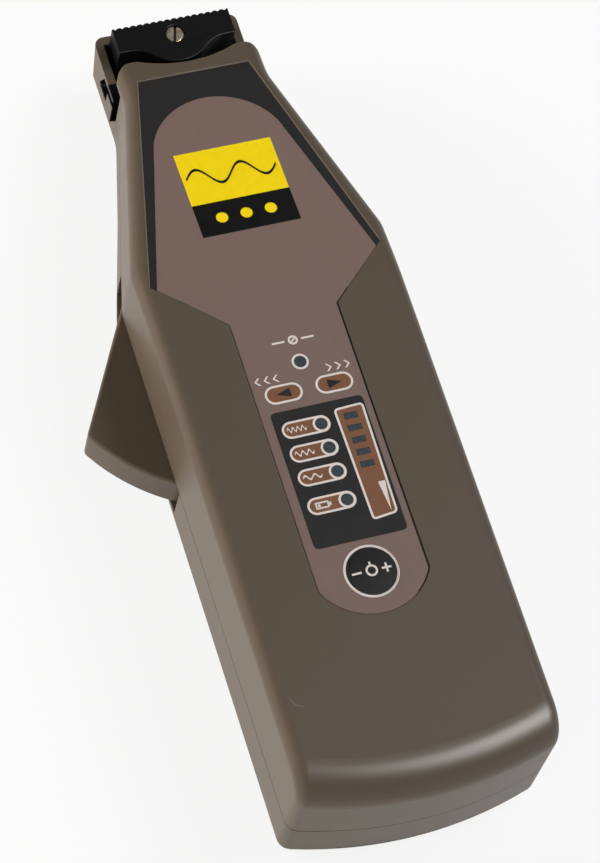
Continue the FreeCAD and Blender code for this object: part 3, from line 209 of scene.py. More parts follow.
class StageSettings(bpy.types.PropertyGroup):
    """Camera and light"""
    azimuth: angle("Azimuth", "Camera's turn round the object", -33.975)
    elevation: angle("Elevation", "Camera's height over the horizon", 62.725)
    roll: angle("Roll", "Camera's turn about its own axis", 18.502)
    distance: length("Distance", "Camera to its target", 834.06)
    target_x: length("Target side", "Point that the camera looks at", -5.64)
    target_y: length("Target height", "Point that the camera looks at", 18.88)
    lens: FloatProperty(
        name="Lens", description="Focal length", subtype="DISTANCE_CAMERA", unit="CAMERA", default=146.6)
    floor: colour("Floor", "Pale floor", 246, 245, 244)
    floor_reach: length("Floor reach", "From the floor's middle to its edge", 12000)
    floor_drop: length("Floor drop", "Gap between the floor and the rear face", 0.02)
    glow: share("Glow", "Plain white in the floor as it is seen", 0.85)
    ambient: share("Ambient", "Strength of the light from above", 0.1)
    horizon: share("Horizon", "Strength of the light from the white walls all round", 0.8)
    lit: place("Lit point", "Point that the lights look at", 0, 20, 20)
    low_size: length("Low lights' size", "Side of the side and front lights", 500)
    side: watts("Side light", "Power of the low light on the left", 13.0)
    side_place: place("Side light's place", "Low on the left, towards the head", -950, 550, 270)
    front: watts("Front light", "Power of the low light past the butt", 4.6)
    front_place: place("Front light's place", "Low on the left, past the butt", -800, -750, 250)
    top: watts("Top light", "Power of the high light on the right", 7.7)
    top_place: place("Top light's place", "High on the right", 750, 150, 900)
    top_size: length("Top light's size", "Side of the top light", 700)
    glint: watts("Glint", "Power of the light that only shows in gloss", 40.0)
    glint_place: place("Glint's place", "High on the right, past the butt", 580, -430, 950)
    glint_size: length("Glint's size", "Side of the light that only shows in gloss", 600)


# Materials

class Finish:
    """A material in the making: its node tree, its shader and its Object coordinates."""

    def __init__(self, name):
        self.material = bpy.data.materials.new(name)
        self.material.use_nodes = True
        self.tree = self.material.node_tree
        self.shader = self.tree.nodes["Principled BSDF"]
        self.place = self.add("ShaderNodeTexCoord").outputs["Object"]

    def add(self, kind, inputs=None, **settings):
        """A new node, with its settings and with values or links on its inputs."""
        made = self.tree.nodes.new(kind)
        for key, value in settings.items():
            setattr(made, key, value)
        for key, value in (inputs or {}).items():
            self.feed(made.inputs[key], value)
        return made

    def feed(self, socket, value):
        """Link a socket to another one, or set its value."""
        if isinstance(value, bpy.types.NodeSocket):
            self.tree.links.new(value, socket)
        else:
            socket.default_value = value

    def shade(self, base, rough):
        """Give the shader a colour and a roughness that vary over the surface."""
        self.feed(self.shader.inputs["Base Color"], base)
        self.feed(self.shader.inputs["Roughness"], rough)

    def constants(self, **values):
        """Set numbers that are the same all over the surface."""
        for key, value in values.items():
            self.shader.inputs[key.replace("_", " ")].default_value = value

    def noise(self, size, detail=3.0, stretch=None):
        """Noise whose grains are about a given size, drawn out along an axis if asked."""
        vector = self.place
        if stretch:
            vector = self.add("ShaderNodeMapping", {"Vector": vector, "Scale": stretch}).outputs["Vector"]
        made = self.add("ShaderNodeTexNoise", {"Vector": vector, "Scale": 1 / size, "Detail": detail})
        return made.outputs["Fac"]

    def ranged(self, value, start, stop, low, high):
        """A number from low to high, as a value goes from start to stop."""
        inputs = {"Value": value, "From Min": start, "From Max": stop, "To Min": low, "To Max": high}
        return self.add("ShaderNodeMapRange", inputs).outputs["Result"]

    def between(self, factor, low, high):
        """A number from low to high, as a noise goes from its usual least to its usual most."""
        return self.ranged(factor, 0.3, 0.7, low, high)

    def maths(self, operation, *values):
        """The result of a sum with numbers."""
        made = self.add("ShaderNodeMath", dict(enumerate(values)), operation=operation)
        return made.outputs[0]

    def vectors(self, operation, result, *values):
        """The result of a sum with vectors."""
        made = self.add("ShaderNodeVectorMath", dict(enumerate(values)), operation=operation)
        return made.outputs[result]

    def tint(self, base, spread, factor):
        """The base colour, darker and lighter by a share."""
        made = self.add("ShaderNodeValToRGB", {"Fac": self.between(factor, 0.0, 1.0)})
        for stop, scale in zip(made.color_ramp.elements, (1 - spread, 1 + spread)):
            stop.color = opaque(min(1.0, level * scale) for level in base)
        return made.outputs["Color"]

    def mix(self, factor, first, second):
        """One colour into another."""
        return self.add("ShaderNodeMix", {0: factor, 6: first, 7: second}, data_type="RGBA").outputs[2]

    def arc(self, centre, radius, width, facing):
        """A mask along a short arc round a centre, which fades out at its ends."""
        offset = self.vectors("SUBTRACT", "Vector", self.place, centre)
        reach = self.vectors("LENGTH", "Value", offset)
        along = self.vectors("DOT_PRODUCT", "Value", offset, facing)
        beside = self.maths("ABSOLUTE", self.maths("SUBTRACT", reach, radius))
        line = self.ranged(beside, 0.0, width, 1.0, 0.0)
        end, full = 0.68 * radius, 0.9 * radius
        return self.maths("MULTIPLY", line, self.ranged(along, end, full, 0.0, 1.0))

    def box(self, middle, half):
        """A mask of one inside a box."""
        axes = self.add("ShaderNodeSeparateXYZ", {0: self.place}).outputs
        mask = 1.0
        for axis, centre, reach in zip(axes, middle, half):
            mask = self.maths("MULTIPLY", self.maths("COMPARE", axis, centre, reach), mask)
        return mask

    def bump(self, height, depth, strength=1.0, soft_edge=0.0):
        """A bumpy surface, over edges that look rounded by a small radius if asked."""
        inputs = {"Height": height, "Distance": depth, "Strength": strength}
        if soft_edge:
            inputs["Normal"] = self.add("ShaderNodeBevel", {"Radius": soft_edge}, samples=6).outputs["Normal"]
        self.feed(self.shader.inputs["Normal"], self.add("ShaderNodeBump", inputs).outputs["Normal"])


def opaque(levels):
    """A colour with full alpha."""
    return [*levels, 1.0]


def moulded_plastic(name, base, rough=(0.38, 0.42), scuffs=(), painted_shade_boxes=(), black=None):
    """Plastic from a spark-eroded mould: fine grain, soft edges, a few scuffs, and painted shade in black
    inside openings.
    """
    finish = Finish(name)
    tone = finish.tint(base, 0.015, finish.noise(0.9 * MM, 2.0))
    rubbed = opaque(min(1.0, 1.5 * level + 0.04) for level in base)
    for scuff in scuffs:
        tone = finish.mix(finish.arc(**scuff), tone, rubbed)
    # Painted shade: each box paints the plastic black where the walls of an opening lie in shade.
    for shade_box in painted_shade_boxes:
        tone = finish.mix(finish.box(**shade_box), tone, opaque(black))
    finish.shade(tone, finish.between(finish.noise(0.7 * MM), *rough))
    finish.bump(finish.noise(0.45 * MM, 2.0), 0.012 * MM, 0.3, soft_edge=0.35 * MM)
    finish.constants(IOR=1.5, Specular_IOR_Level=0.22)
    return finish.material


def printed_film(name, base):
    """Screen ink under a matt film: a trace of orange peel and a faint screen mottle."""
    finish = Finish(name)
    mottle = finish.tint(base, 0.02, finish.noise(1.2 * MM))
    finish.shade(mottle, finish.between(finish.noise(5 * MM), 0.36, 0.46))
    finish.bump(finish.noise(0.25 * MM, 2.0), 0.006 * MM, 0.3)
    finish.constants(IOR=1.48, Specular_IOR_Level=0.15)
    return finish.material


def soft_rubber(name, base):
    """Silicone key: broad soft sheen over a fine tooth."""
    finish = Finish(name)
    bloom = finish.tint(base, 0.06, finish.noise(2 * MM))
    finish.shade(bloom, finish.between(finish.noise(1.5 * MM), 0.48, 0.62))
    finish.bump(finish.noise(0.2 * MM, 2.0), 0.01 * MM, 0.4)
    finish.constants(Specular_IOR_Level=0.15)
    return finish.material


def clear_resin(name, base):
    """Tinted lamp resin behind a smooth clear skin."""
    finish = Finish(name)
    cloud = finish.tint(base, 0.2, finish.noise(0.8 * MM))
    finish.shade(cloud, finish.between(finish.noise(0.6 * MM), 0.12, 0.22))
    finish.constants(Coat_Weight=0.8, Coat_Roughness=0.06, IOR=1.54)
    return finish.material


def plated_metal(name, base, rough, stretch, metal=1.0, tarnish=None):
    """Turned or drawn metal: fine tool lines along one direction, uneven gloss and painted shade in its
    hollows.
    """
    finish = Finish(name)
    lines = finish.noise(0.35 * MM, 4.0, stretch=stretch)
    # Painted shade: ambient occlusion darkens the colour in slots and hollows, such as the screw's slot.
    open_share = finish.add("ShaderNodeAmbientOcclusion", {"Distance": 0.8 * MM}, samples=8).outputs["AO"]
    clear = finish.ranged(open_share, 0.4, 0.8, 0.0, 1.0)
    hollow_shade = opaque(0.06 * level for level in base)
    tone = finish.tint(base, 0.08, lines)
    if tarnish:
        patches = finish.between(finish.noise(1.6 * MM, 1.0), 0.0, 0.9)
        tone = finish.mix(patches, tone, opaque(tarnish))
    finish.shade(finish.mix(clear, hollow_shade, tone), finish.between(lines, *rough))
    finish.bump(lines, 0.006 * MM, 0.5, soft_edge=0.2 * MM)
    finish.constants(Metallic=metal)
    return finish.material


def board_laminate(name, base):
    """Green board under solder mask, with its weave showing faintly."""
    finish = Finish(name)
    weave = finish.add("ShaderNodeTexChecker", {"Vector": finish.place, "Scale": 1 / (0.6 * MM)})
    mask = finish.tint(base, 0.12, finish.noise(2 * MM))
    finish.shade(mask, finish.between(finish.noise(1 * MM), 0.25, 0.4))
    finish.bump(weave.outputs["Fac"], 0.008 * MM, 0.3)
    return finish.material


def studio_floor(name, base, glow):
    """Matt paper that looks close to plain white and still takes the object's shadow."""
    finish = Finish(name)
    finish.feed(finish.shader.inputs["Base Color"], finish.tint(base, 0.01, finish.noise(0.2)))
    finish.constants(Roughness=0.9, IOR=1.3)
    rays = finish.add("ShaderNodeLightPath").outputs
    mirrored = finish.maths("MAXIMUM", rays["Is Glossy Ray"], rays["Is Transmission Ray"])
    seen = finish.maths("MAXIMUM", rays["Is Camera Ray"], mirrored)
    white = finish.add("ShaderNodeEmission", {"Strength": 1.0}).outputs["Emission"]
    paper = finish.shader.outputs["BSDF"]
    blend = finish.add("ShaderNodeMixShader", {0: finish.maths("MULTIPLY", seen, glow), 1: paper, 2: white})
    finish.feed(finish.tree.nodes["Material Output"].inputs["Surface"], blend.outputs["Shader"])
    return finish.material


def dress(material, *names):
    """Give CAD nodes a finish."""
    for name in names:
        for slot in NODES[name].material_slots:
            slot.material = material


def inks(*names):
    """Printed films by colour name."""
    colours = bpy.context.scene.fibre_colours
    made = []
    for name in names:
        film = "print_" + name
        made.append(bpy.data.materials.get(film) or printed_film(film, getattr(colours, name)))
    return made


# Shapes

def verts_of(items):
    """The vertices among the geometry that an operator gives back."""
    return [item for item in items if isinstance(item, bmesh.types.BMVert)]


def flat_round(bm, radius, x=0.0, y=0.0):
    """A flat disc, as one face."""
    made = bmesh.ops.create_circle(bm, cap_ends=True, segments=ROUND_STEPS, radius=radius)
    bmesh.ops.translate(bm, vec=(x, y, 0), verts=made["verts"])
    return made["verts"][0].link_faces[0]


def flat_plate(bm, wide, tall, corner, x=0.0, y=0.0, turn=0.0):
    """A flat rectangle with round corners, as one face."""
    made = bmesh.ops.create_grid(bm, x_segments=1, y_segments=1, size=0.5)
    bmesh.ops.scale(bm, vec=(wide, tall, 1), verts=made["verts"])
    spot = Matrix.Translation((x, y, 0)) @ Matrix.Rotation(turn, 4, "Z")
    bmesh.ops.transform(bm, matrix=spot, verts=made["verts"])
    return round_corners(bm, made["verts"], min(corner, 0.499 * wide, 0.499 * tall))


def round_corners(bm, corners, radius):
    """Round a flat face's corners and give back the face."""
    made = bmesh.ops.bevel(bm, geom=corners, offset=radius, affect="VERTICES", segments=CORNER_STEPS,
                           profile=0.5, material=-1)
    return made["verts"][0].link_faces[0]


def flat_polygon(bm, corners):
    """A flat face through a few corners."""
    return bm.faces.new([bm.verts.new((x, y, 0)) for x, y in corners])


def flat_wave(bm, wide, line, rise, swings, x=0.0, y=0.0):
    """A flat wave line of a few whole swings."""
    made = bmesh.ops.create_grid(bm, x_segments=SWING_STEPS * swings, y_segments=1, size=0.5)
    for vert in made["verts"]:
        swing = rise / 2 * math.sin(2 * math.pi * swings * (vert.co.x + 0.5))
        vert.co = (x + wide * vert.co.x, y + line * vert.co.y + swing, 0)


def flat_ring(bm, radius, line, x=0.0, y=0.0):
    """A flat ring of a given width."""
    disc = outlined(bm, flat_round(bm, radius, x, y), line)
    bmesh.ops.delete(bm, geom=[disc], context="FACES")


def flat_chevron(bm, side, reach, half, line, x, y):
    """A flat chevron that points left or right."""
    back, tip = x - side * reach / 2, x + side * reach / 2
    flat_polygon(bm, [(back, y + half), (back + side * line, y + half), (tip + side * line, y),
                      (back + side * line, y - half), (back, y - half), (tip, y)])


def flat_plus(bm, wide, line, x, y):
    """A flat plus sign, as one face."""
    far, near = wide / 2, line / 2
    arm = [Vector(corner) for corner in ((far, -near), (far, near), (near, near))]
    turns = [Matrix.Rotation(math.radians(90 * step), 2) for step in range(4)]
    flat_polygon(bm, [turn @ corner + Vector((x, y)) for turn in turns for corner in arm])


def outlined(bm, face, line):
    """Inset a face. Its rim keeps the first material and its middle takes the second."""
    bmesh.ops.inset_region(bm, faces=[face], thickness=line, use_even_offset=True, use_boundary=True)
    face.material_index = 1
    return face


def lens_cap(bm, radius, rise, x, y):
    """A shallow domed lens: an arc from crown to rim, spun once round."""
    curve = (radius ** 2 + rise ** 2) / (2 * rise)
    crown = bm.verts.new((x, y, rise))
    arc = bmesh.ops.spin(bm, geom=[crown], cent=(x, y, rise - curve), axis=(0, 1, 0),
                         angle=math.asin(radius / curve), steps=ARC_STEPS)
    chain, point = [], verts_of(arc["geom_last"])[0]
    while point is not crown:
        edge = [link for link in point.link_edges if link not in chain][0]
        chain.append(edge)
        point = edge.other_vert(point)
    bmesh.ops.spin(bm, geom=chain, cent=(x, y, 0), axis=(0, 0, 1), angle=2 * math.pi, steps=ROUND_STEPS,
                   use_merge=True)


def close_caps(bm):
    """Join the seams of spun caps, close them below and turn their faces outwards."""
    bmesh.ops.remove_doubles(bm, verts=bm.verts, dist=MERGE)
    bmesh.ops.holes_fill(bm, edges=[edge for edge in bm.edges if edge.is_boundary], sides=0)
    bmesh.ops.recalc_face_normals(bm, faces=bm.faces)


def thicken(bm, thickness):
    """Turn flat faces into closed plates that stand up from their plane."""
    bmesh.ops.recalc_face_normals(bm, faces=bm.faces)
    for face in bm.faces:
        if face.normal.z < 0:
            face.normal_flip()
    made = bmesh.ops.extrude_face_region(bm, geom=bm.faces[:], use_keep_orig=True)
    bmesh.ops.translate(bm, vec=(0, 0, thickness), verts=verts_of(made["geom"]))
    bmesh.ops.recalc_face_normals(bm, faces=bm.faces)


def lay_on(bm, node):
    """Lay flat shapes on the front of a CAD node, as print lies on a dome."""
    bmesh.ops.triangulate(bm, faces=bm.faces)
    bmesh.ops.subdivide_edges(bm, edges=bm.edges, cuts=PRINT_CUTS, use_grid_fill=True)
    skin = BVHTree.FromObject(NODES[node], bpy.context.evaluated_depsgraph_get())
    for vert in bm.verts:
        above = Vector((vert.co.x, vert.co.y, 2 * FACE_TOP))
        vert.co.z = skin.ray_cast(above, Vector((0, 0, -1)))[0].z


def merged_copy(node):
    """A CAD node's mesh as a bmesh, with its loose triangles joined."""
    bm = bmesh.new()
    bm.from_mesh(NODES[node].data)
    bmesh.ops.remove_doubles(bm, verts=bm.verts, dist=MERGE)
    return bm


def label_edge(least_x):
    """Right-hand edge of the label's level part, as a chain of bare edges."""
    bm = merged_copy("face_label")
    top = {vert for vert in bm.verts if vert.co.z > LABEL_TOP - 10 * MERGE and vert.co.x > least_x}
    chain = {edge for edge in bm.edges
             if top.issuperset(edge.verts) and edge.calc_face_angle(0.0) > SHARP_ANGLE}
    bmesh.ops.delete(bm, geom=bm.faces[:], context="FACES_ONLY")
    bmesh.ops.delete(bm, geom=[edge for edge in bm.edges if edge not in chain], context="EDGES")
    bmesh.ops.delete(bm, geom=[vert for vert in bm.verts if not vert.link_edges], context="VERTS")
    return bm


def centres(node):
    """Middle of each separate solid in a CAD node, from the head towards the butt."""
    bm = merged_copy(node)
    left = set(bm.verts)
    found = []
    while left:
        island, fresh = set(), [left.pop()]
        while fresh:
            vert = fresh.pop()
            island.add(vert)
            reached = {edge.other_vert(vert) for edge in vert.link_edges} & left
            left -= reached
            fresh.extend(reached)
        low = Vector([min(vert.co[axis] for vert in island) for axis in range(3)])
        high = Vector([max(vert.co[axis] for vert in island) for axis in range(3)])
        found.append((low + high) / 2)
    bm.free()
    return sorted(found, key=lambda point: (-round(point.y, 5), point.x))


def on_face(lift):
    """Where a flat shape lands on the label's level part."""
    return Matrix.Translation((0, 0, LABEL_TOP + lift))


def on_neck(lift):
    """Where a flat shape lands on the label's sloping part, with Y measured along the slope."""
    label = bpy.context.scene.fibre_label
    hinge = Matrix.Translation((0, label.bend, FACE_TOP))
    turn = Matrix.Rotation(-label.slope, 4, "X")
    return hinge @ turn @ Matrix.Translation((0, -label.bend, LABEL_TOP - FACE_TOP + lift))


def neck_y(y):
    """A place along Y, measured along the neck's slope."""
    label = bpy.context.scene.fibre_label
    return label.bend + (y - label.bend) / math.cos(label.slope)


def piece(name, bm, materials, body, spot=None, smooth=False):
    """Make a bmesh an object of the scene that rides on a body."""
    if spot:
        bmesh.ops.transform(bm, matrix=spot, verts=bm.verts)
    mesh = bpy.data.meshes.new(name)
    bm.to_mesh(mesh)
    bm.free()
    for material in materials:
        mesh.materials.append(material)
    made = bpy.data.objects.new(name, mesh)
    bpy.context.scene.collection.objects.link(made)
    if smooth:
        mesh.shade_smooth()
        mesh.set_sharp_from_angle(angle=SHARP_ANGLE)
    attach(made, body)


def label_print(name, bm, colours, spot=None):
    """Give flat shapes the thickness of ink and print them on the label."""
    thicken(bm, bpy.context.scene.fibre_label.ink)
    piece(name, bm, inks(*colours), "housing", spot)


# Light

def white_walls(name, above, horizon):
    """A world that is white at the horizon and dims overhead."""
    world = bpy.data.worlds.new(name)
    world.use_nodes = True
    nodes, links = world.node_tree.nodes, world.node_tree.links
    axes = nodes.new("ShaderNodeSeparateXYZ")
    links.new(nodes.new("ShaderNodeTexCoord").outputs["Generated"], axes.inputs["Vector"])
    fade = nodes.new("ShaderNodeMapRange")
    white_up_to, dim_from = 0.02, 0.5
    heights = {"From Min": white_up_to, "From Max": dim_from, "To Min": horizon, "To Max": above}
    for key, value in heights.items():
        fade.inputs[key].default_value = value
    links.new(axes.outputs["Z"], fade.inputs["Value"])
    links.new(fade.outputs["Result"], nodes["Background"].inputs["Strength"])
    nodes["Background"].inputs["Color"].default_value = (1, 1, 1, 1)
    return world


def soft_light(name, spot, size, power, tone=(1, 1, 1), only_gloss=False):
    """A square light that looks at the object, and lights either its matt colour or its gloss."""
    light = bpy.data.lights.new(name, "AREA")
    light.size = size
    light.energy = power
    light.color = tone
    made = bpy.data.objects.new(name, light)
    made.location = spot
    lit = Vector(bpy.context.scene.fibre_stage.lit)
    made.rotation_euler = (lit - Vector(spot)).to_track_quat("-Z", "Y").to_euler()
    made.visible_glossy = only_gloss
    made.visible_diffuse = not only_gloss
    bpy.context.scene.collection.objects.link(made)


# Operators

class FIBRE_OT_housing(bpy.types.Operator):
    """Finish the shells, the trigger and the battery door in moulded plastic"""
    bl_idname = "fibre.housing"
    bl_label = "Housing"

    def execute(self, context):
        colours = context.scene.fibre_colours
        grip_scuff = {"centre": (-25.2 * MM, -45.0 * MM, FACE_TOP), "radius": 3.1 * MM,
                      "width": 0.22 * MM, "facing": (-0.71, -0.71, 0)}
        # Painted shade: the cheek slot's walls and the bar over it are painted in the block's black, for the
        # shade inside the slot and under the lip.
        slot_wall_shade = {"middle": (0, 129.8 * MM, 14.2 * MM), "half": (18.75 * MM, 7.5 * MM, 5.1 * MM)}
        slot_bar_shade = {"middle": (0, 127.2 * MM, 18.95 * MM), "half": (20.0 * MM, 4.2 * MM, 0.9 * MM)}
        plastic = moulded_plastic("housing_plastic", colours.housing, scuffs=[grip_scuff],
                                  painted_shade_boxes=[slot_wall_shade, slot_bar_shade], black=colours.block)
        dress(plastic, "front_shell", "rear_shell", "trigger_lever", "battery_door")
        return {"FINISHED"}


class FIBRE_OT_label(bpy.types.Operator):
    """Print the label's field and its dark border on the neck, with a painted highlight round its head and a
    painted shadow along its right edge
    """
    bl_idname = "fibre.label"
    bl_label = "Label"

    def execute(self, context):
        label = context.scene.fibre_label
        dress(inks("film")[0], "face_label")
        outer = [(label.wing, neck_y(label.wing_y)), (label.top_half, neck_y(LABEL_HEAD)),
                 (-label.top_half, neck_y(LABEL_HEAD)), (-label.wing, neck_y(label.wing_y))]
        self.print_border(label, outer)
        self.print_rim(label, outer)
        self.print_gap(label)
        return {"FINISHED"}

    def print_border(self, label, outer):
        """The dark border, between the label's outline and the field's arch."""
        foot, head = neck_y(label.field_foot_y), neck_y(label.field_head_y)
        rise = neck_y(label.arch_y) - head
        radius = (label.field_head ** 2 + rise ** 2) / (2 * rise)
        corners = [(label.field_foot, foot), *outer, (-label.field_foot, foot), (-label.field_head, head)]
        bm = bmesh.new()
        verts = [bm.verts.new((x, y, 0)) for x, y in corners]
        for first, second in zip(verts, verts[1:]):
            bm.edges.new((first, second))
        arch = bmesh.ops.spin(
            bm, geom=[verts[-1]], cent=(0, neck_y(label.arch_y) - radius, 0), axis=(0, 0, -1),
            angle=2 * math.asin(label.field_head / radius), steps=ROUND_STEPS)
        bm.edges.new((verts_of(arch["geom_last"])[0], verts[0]))
        bmesh.ops.edgeloop_fill(bm, edges=bm.edges[:])
        label_print("label_border", bm, ["charcoal"], on_neck(0))

    def print_rim(self, label, outer):
        """A painted highlight: a light strip along the outline of the label's head, for the lit wall of its
        recess.
        """
        bm = bmesh.new()
        points = [Vector(corner) for corner in outer]
        for first, second in zip(points, points[1:]):
            along, middle = second - first, (first + second) / 2
            turn = math.atan2(along.y, along.x)
            flat_plate(bm, along.length, label.rim, 10 * MERGE, middle.x, middle.y, turn)
        label_print("label_rim", bm, ["rim"], on_neck(label.ink))

    def print_gap(self, label):
        """Painted shadow: a dark line along the right edge of the level part, where the gap beside the label
        lies in shade.
        """
        bm = label_edge(label.gap_shadow_x)
        made = bmesh.ops.extrude_edge_only(bm, edges=bm.edges[:])
        bmesh.ops.translate(bm, vec=(-label.rim, 0, 0), verts=verts_of(made["geom"]))
        # The painted shadow uses the sign's black ink.
        label_print("label_gap", bm, ["black"])


class FIBRE_OT_sign(bpy.types.Operator):
    """Print the two-colour sign on the neck: a plain wave over a row of dots"""
    bl_idname = "fibre.sign"
    bl_label = "Sign"

    def execute(self, context):
        label = context.scene.fibre_label
        side, middle = label.sign, neck_y(label.sign_y)
        low, split, high = middle - side / 2, middle - 0.12 * side, middle + side / 2
        fields = (("sign_upper", "yellow", split, high), ("sign_lower", "black", low, split))
        for name, ink, foot, head in fields:
            bm = bmesh.new()
            flat_plate(bm, side, head - foot, label.sign_corner, y=(foot + head) / 2)
            label_print(name, bm, [ink], on_neck(0))
        bm = bmesh.new()
        dot, apart = 0.06 * side, 0.25 * side
        for step in (-1, 0, 1):
            flat_round(bm, dot, x=step * apart, y=(low + split) / 2)
        label_print("sign_dots", bm, ["yellow"], on_neck(label.ink))
        bm = bmesh.new()
        wide, rise = 0.92 * side, 0.2 * side
        flat_wave(bm, wide, label.sign_line, rise, swings=2, y=(high + split) / 2)
        label_print("sign_wave", bm, ["black"], on_neck(label.ink))
        return {"FINISHED"}


class FIBRE_OT_panel(bpy.types.Operator):
    """Print the dark lamp panel with its pills and the level bar"""
    bl_idname = "fibre.panel"
    bl_label = "Lamp panel"

    def execute(self, context):
        label = context.scene.fibre_label
        bm = bmesh.new()
        flat_plate(bm, label.panel_wide, label.panel_tall, label.panel_corner, label.panel_x, label.panel_y)
        label_print("lamp_panel", bm, ["charcoal"], on_face(0))

        pills, marks = bmesh.new(), bmesh.new()
        for number, lamp in enumerate(centres("frequency_lamps")):
            middle = lamp.x + (label.pill_tall - label.pill_wide) / 2
            pill = flat_plate(pills, label.pill_wide, label.pill_tall, label.pill_tall / 2, middle, lamp.y)
            outlined(pills, pill, label.line)
            self.print_mark(marks, label, number, lamp.x - label.pill_mark, lamp.y)
        label_print("lamp_pills", pills, ["pale", "brown"], on_face(label.ink))

        bar_corners = [(4.4 * MM, -7.3 * MM), (11.0 * MM, -6.6 * MM), (11.5 * MM, 23.0 * MM),
                       (3.9 * MM, 22.7 * MM)]
        bm = bmesh.new()
        bar = flat_polygon(bm, bar_corners)
        outlined(bm, round_corners(bm, bar.verts[:], label.bar_corner), label.line)
        label_print("level_bar", bm, ["pale", "brown"], on_face(label.ink))

        wedge_corners = [(9.5 * MM, -5.9 * MM), (10.4 * MM, 2.0 * MM), (8.6 * MM, 2.0 * MM)]
        flat_polygon(marks, wedge_corners)
        label_print("panel_marks", marks, ["pale"], on_face(2 * label.ink))
        return {"FINISHED"}

    def print_mark(self, bm, label, number, x, y):
        """A wave of fewer swings on each next pill, and a battery on the last."""
        if number < 3:
            flat_wave(bm, label.wave_wide, label.mark, 0.55 * label.mark_tall, 4 - number, x, y)
            return
        wide, tall, corner = label.case_wide, 0.9 * label.mark_tall, 4 * label.mark_corner
        case = outlined(bm, flat_plate(bm, wide, tall, corner, x, y), 0.8 * label.mark)
        bmesh.ops.delete(bm, geom=[case], context="FACES")
        pole_x = x + wide / 2 + 0.6 * label.mark
        flat_plate(bm, label.mark, 0.5 * tall, label.mark_corner, pole_x, y)
        charge_x, charge_wide = x - wide / 2 + 0.95 * MM, 0.6 * MM
        flat_plate(bm, charge_wide, 0.4 * tall, label.mark_corner, charge_x, y)


class FIBRE_OT_arrows(bpy.types.Operator):
    """Print the two arrow pills and the plain marks round them"""
    bl_idname = "fibre.arrows"
    bl_label = "Arrows"

    def execute(self, context):
        label = context.scene.fibre_label
        pills, arrows, marks = bmesh.new(), bmesh.new(), bmesh.new()
        for lamp, row_x in zip(centres("direction_lamps"), (label.chevron_left, label.chevron_right)):
            pill = flat_plate(pills, label.arrow_wide, label.arrow_tall, label.arrow_tall / 2, lamp.x, lamp.y)
            outlined(pills, pill, label.line)
            side = math.copysign(1, lamp.x)
            back, tip = lamp.x - side * label.arrow_back, lamp.x + side * label.arrow_tip
            flat_polygon(arrows, [(back, lamp.y - label.arrow_half), (tip, lamp.y),
                                  (back, lamp.y + label.arrow_half)])
            for step in (-1, 0, 1):
                flat_chevron(marks, side, label.chevron_reach, label.mark_tall / 2, label.mark,
                             row_x + step * label.chevron_apart, label.chevron_y)
        self.print_empty_mark(marks, label)
        label_print("arrow_pills", pills, ["pale", "brown"], on_face(0))
        label_print("arrow_points", arrows, ["charcoal"], on_face(label.ink))
        label_print("arrow_marks", marks, ["pale"], on_face(0))
        return {"FINISHED"}

    def print_empty_mark(self, bm, label):
        """A crossed ring between two dashes, over the lamp that stands for no signal."""
        flat_ring(bm, 0.62 * label.mark_tall, label.mark, y=label.empty_y)
        cross = 1.2 * label.mark_tall - 2 * label.mark
        flat_plate(bm, cross, 0.8 * label.mark, 10 * MERGE, y=label.empty_y, turn=math.radians(45))
        for side in (-1, 1):
            flat_plate(bm, label.dash, label.mark, 2 * label.mark_corner, side * label.dash_x, label.empty_y)


class FIBRE_OT_lamps(bpy.types.Operator):
    """Set a domed lens in a pale ring over every round lamp, and a window over every level lamp"""
    bl_idname = "fibre.lamps"
    bl_label = "Lamps"

    def execute(self, context):
        label = context.scene.fibre_label
        resin = clear_resin("lamp_resin", context.scene.fibre_colours.lens)
        dress(resin, "no_signal_lamp", "frequency_lamps", "direction_lamps", "level_lamps")
        rings, lenses, windows = bmesh.new(), bmesh.new(), bmesh.new()
        for lamp in centres("no_signal_lamp") + centres("frequency_lamps"):
            outlined(rings, flat_round(rings, label.lamp_ring, lamp.x, lamp.y), label.line)
            lens_cap(lenses, label.lens, label.lens_rise, lamp.x, lamp.y)
        for lamp in centres("level_lamps"):
            flat_plate(windows, label.window_wide, label.window_tall, label.window_corner, lamp.x, lamp.y)
        label_print("lamp_rings", rings, ["pale", "charcoal"], on_face(2 * label.ink))
        close_caps(lenses)
        piece("lamp_lenses", lenses, [resin], "housing", on_face(3 * label.ink), smooth=True)
        thicken(windows, label.ink)
        piece("level_windows", windows, [resin], "housing", on_face(2 * label.ink))
        return {"FINISHED"}


class FIBRE_OT_button(bpy.types.Operator):
    """Finish the button, print its dial between a minus and a plus, and print the ring round it"""
    bl_idname = "fibre.button"
    bl_label = "Button"

    def execute(self, context):
        label = context.scene.fibre_label
        dress(soft_rubber("black_key", context.scene.fibre_colours.key), "adjust_button")
        low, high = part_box("adjust_button")
        x, y, _ = (low + high) / 2
        bm = bmesh.new()
        flat_ring(bm, label.button_ring, label.ring, x, y)
        label_print("button_ring", bm, ["pale"], on_face(0))

        bm = bmesh.new()
        wide, tall = 1.2 * label.mark_tall, label.mark_tall
        flat_plate(bm, wide, label.mark, label.mark_corner, x - label.button_apart, y)
        flat_plus(bm, wide, label.mark, x + label.button_apart, y)
        flat_ring(bm, 0.75 * tall, label.mark, x, y)
        flat_plate(bm, label.mark, 0.35 * tall, label.mark_corner, x, y + 0.95 * tall)
        lay_on(bm, "adjust_button")
        thicken(bm, label.key_ink)
        piece("button_marks", bm, inks("pale"), "button")
        return {"FINISHED"}


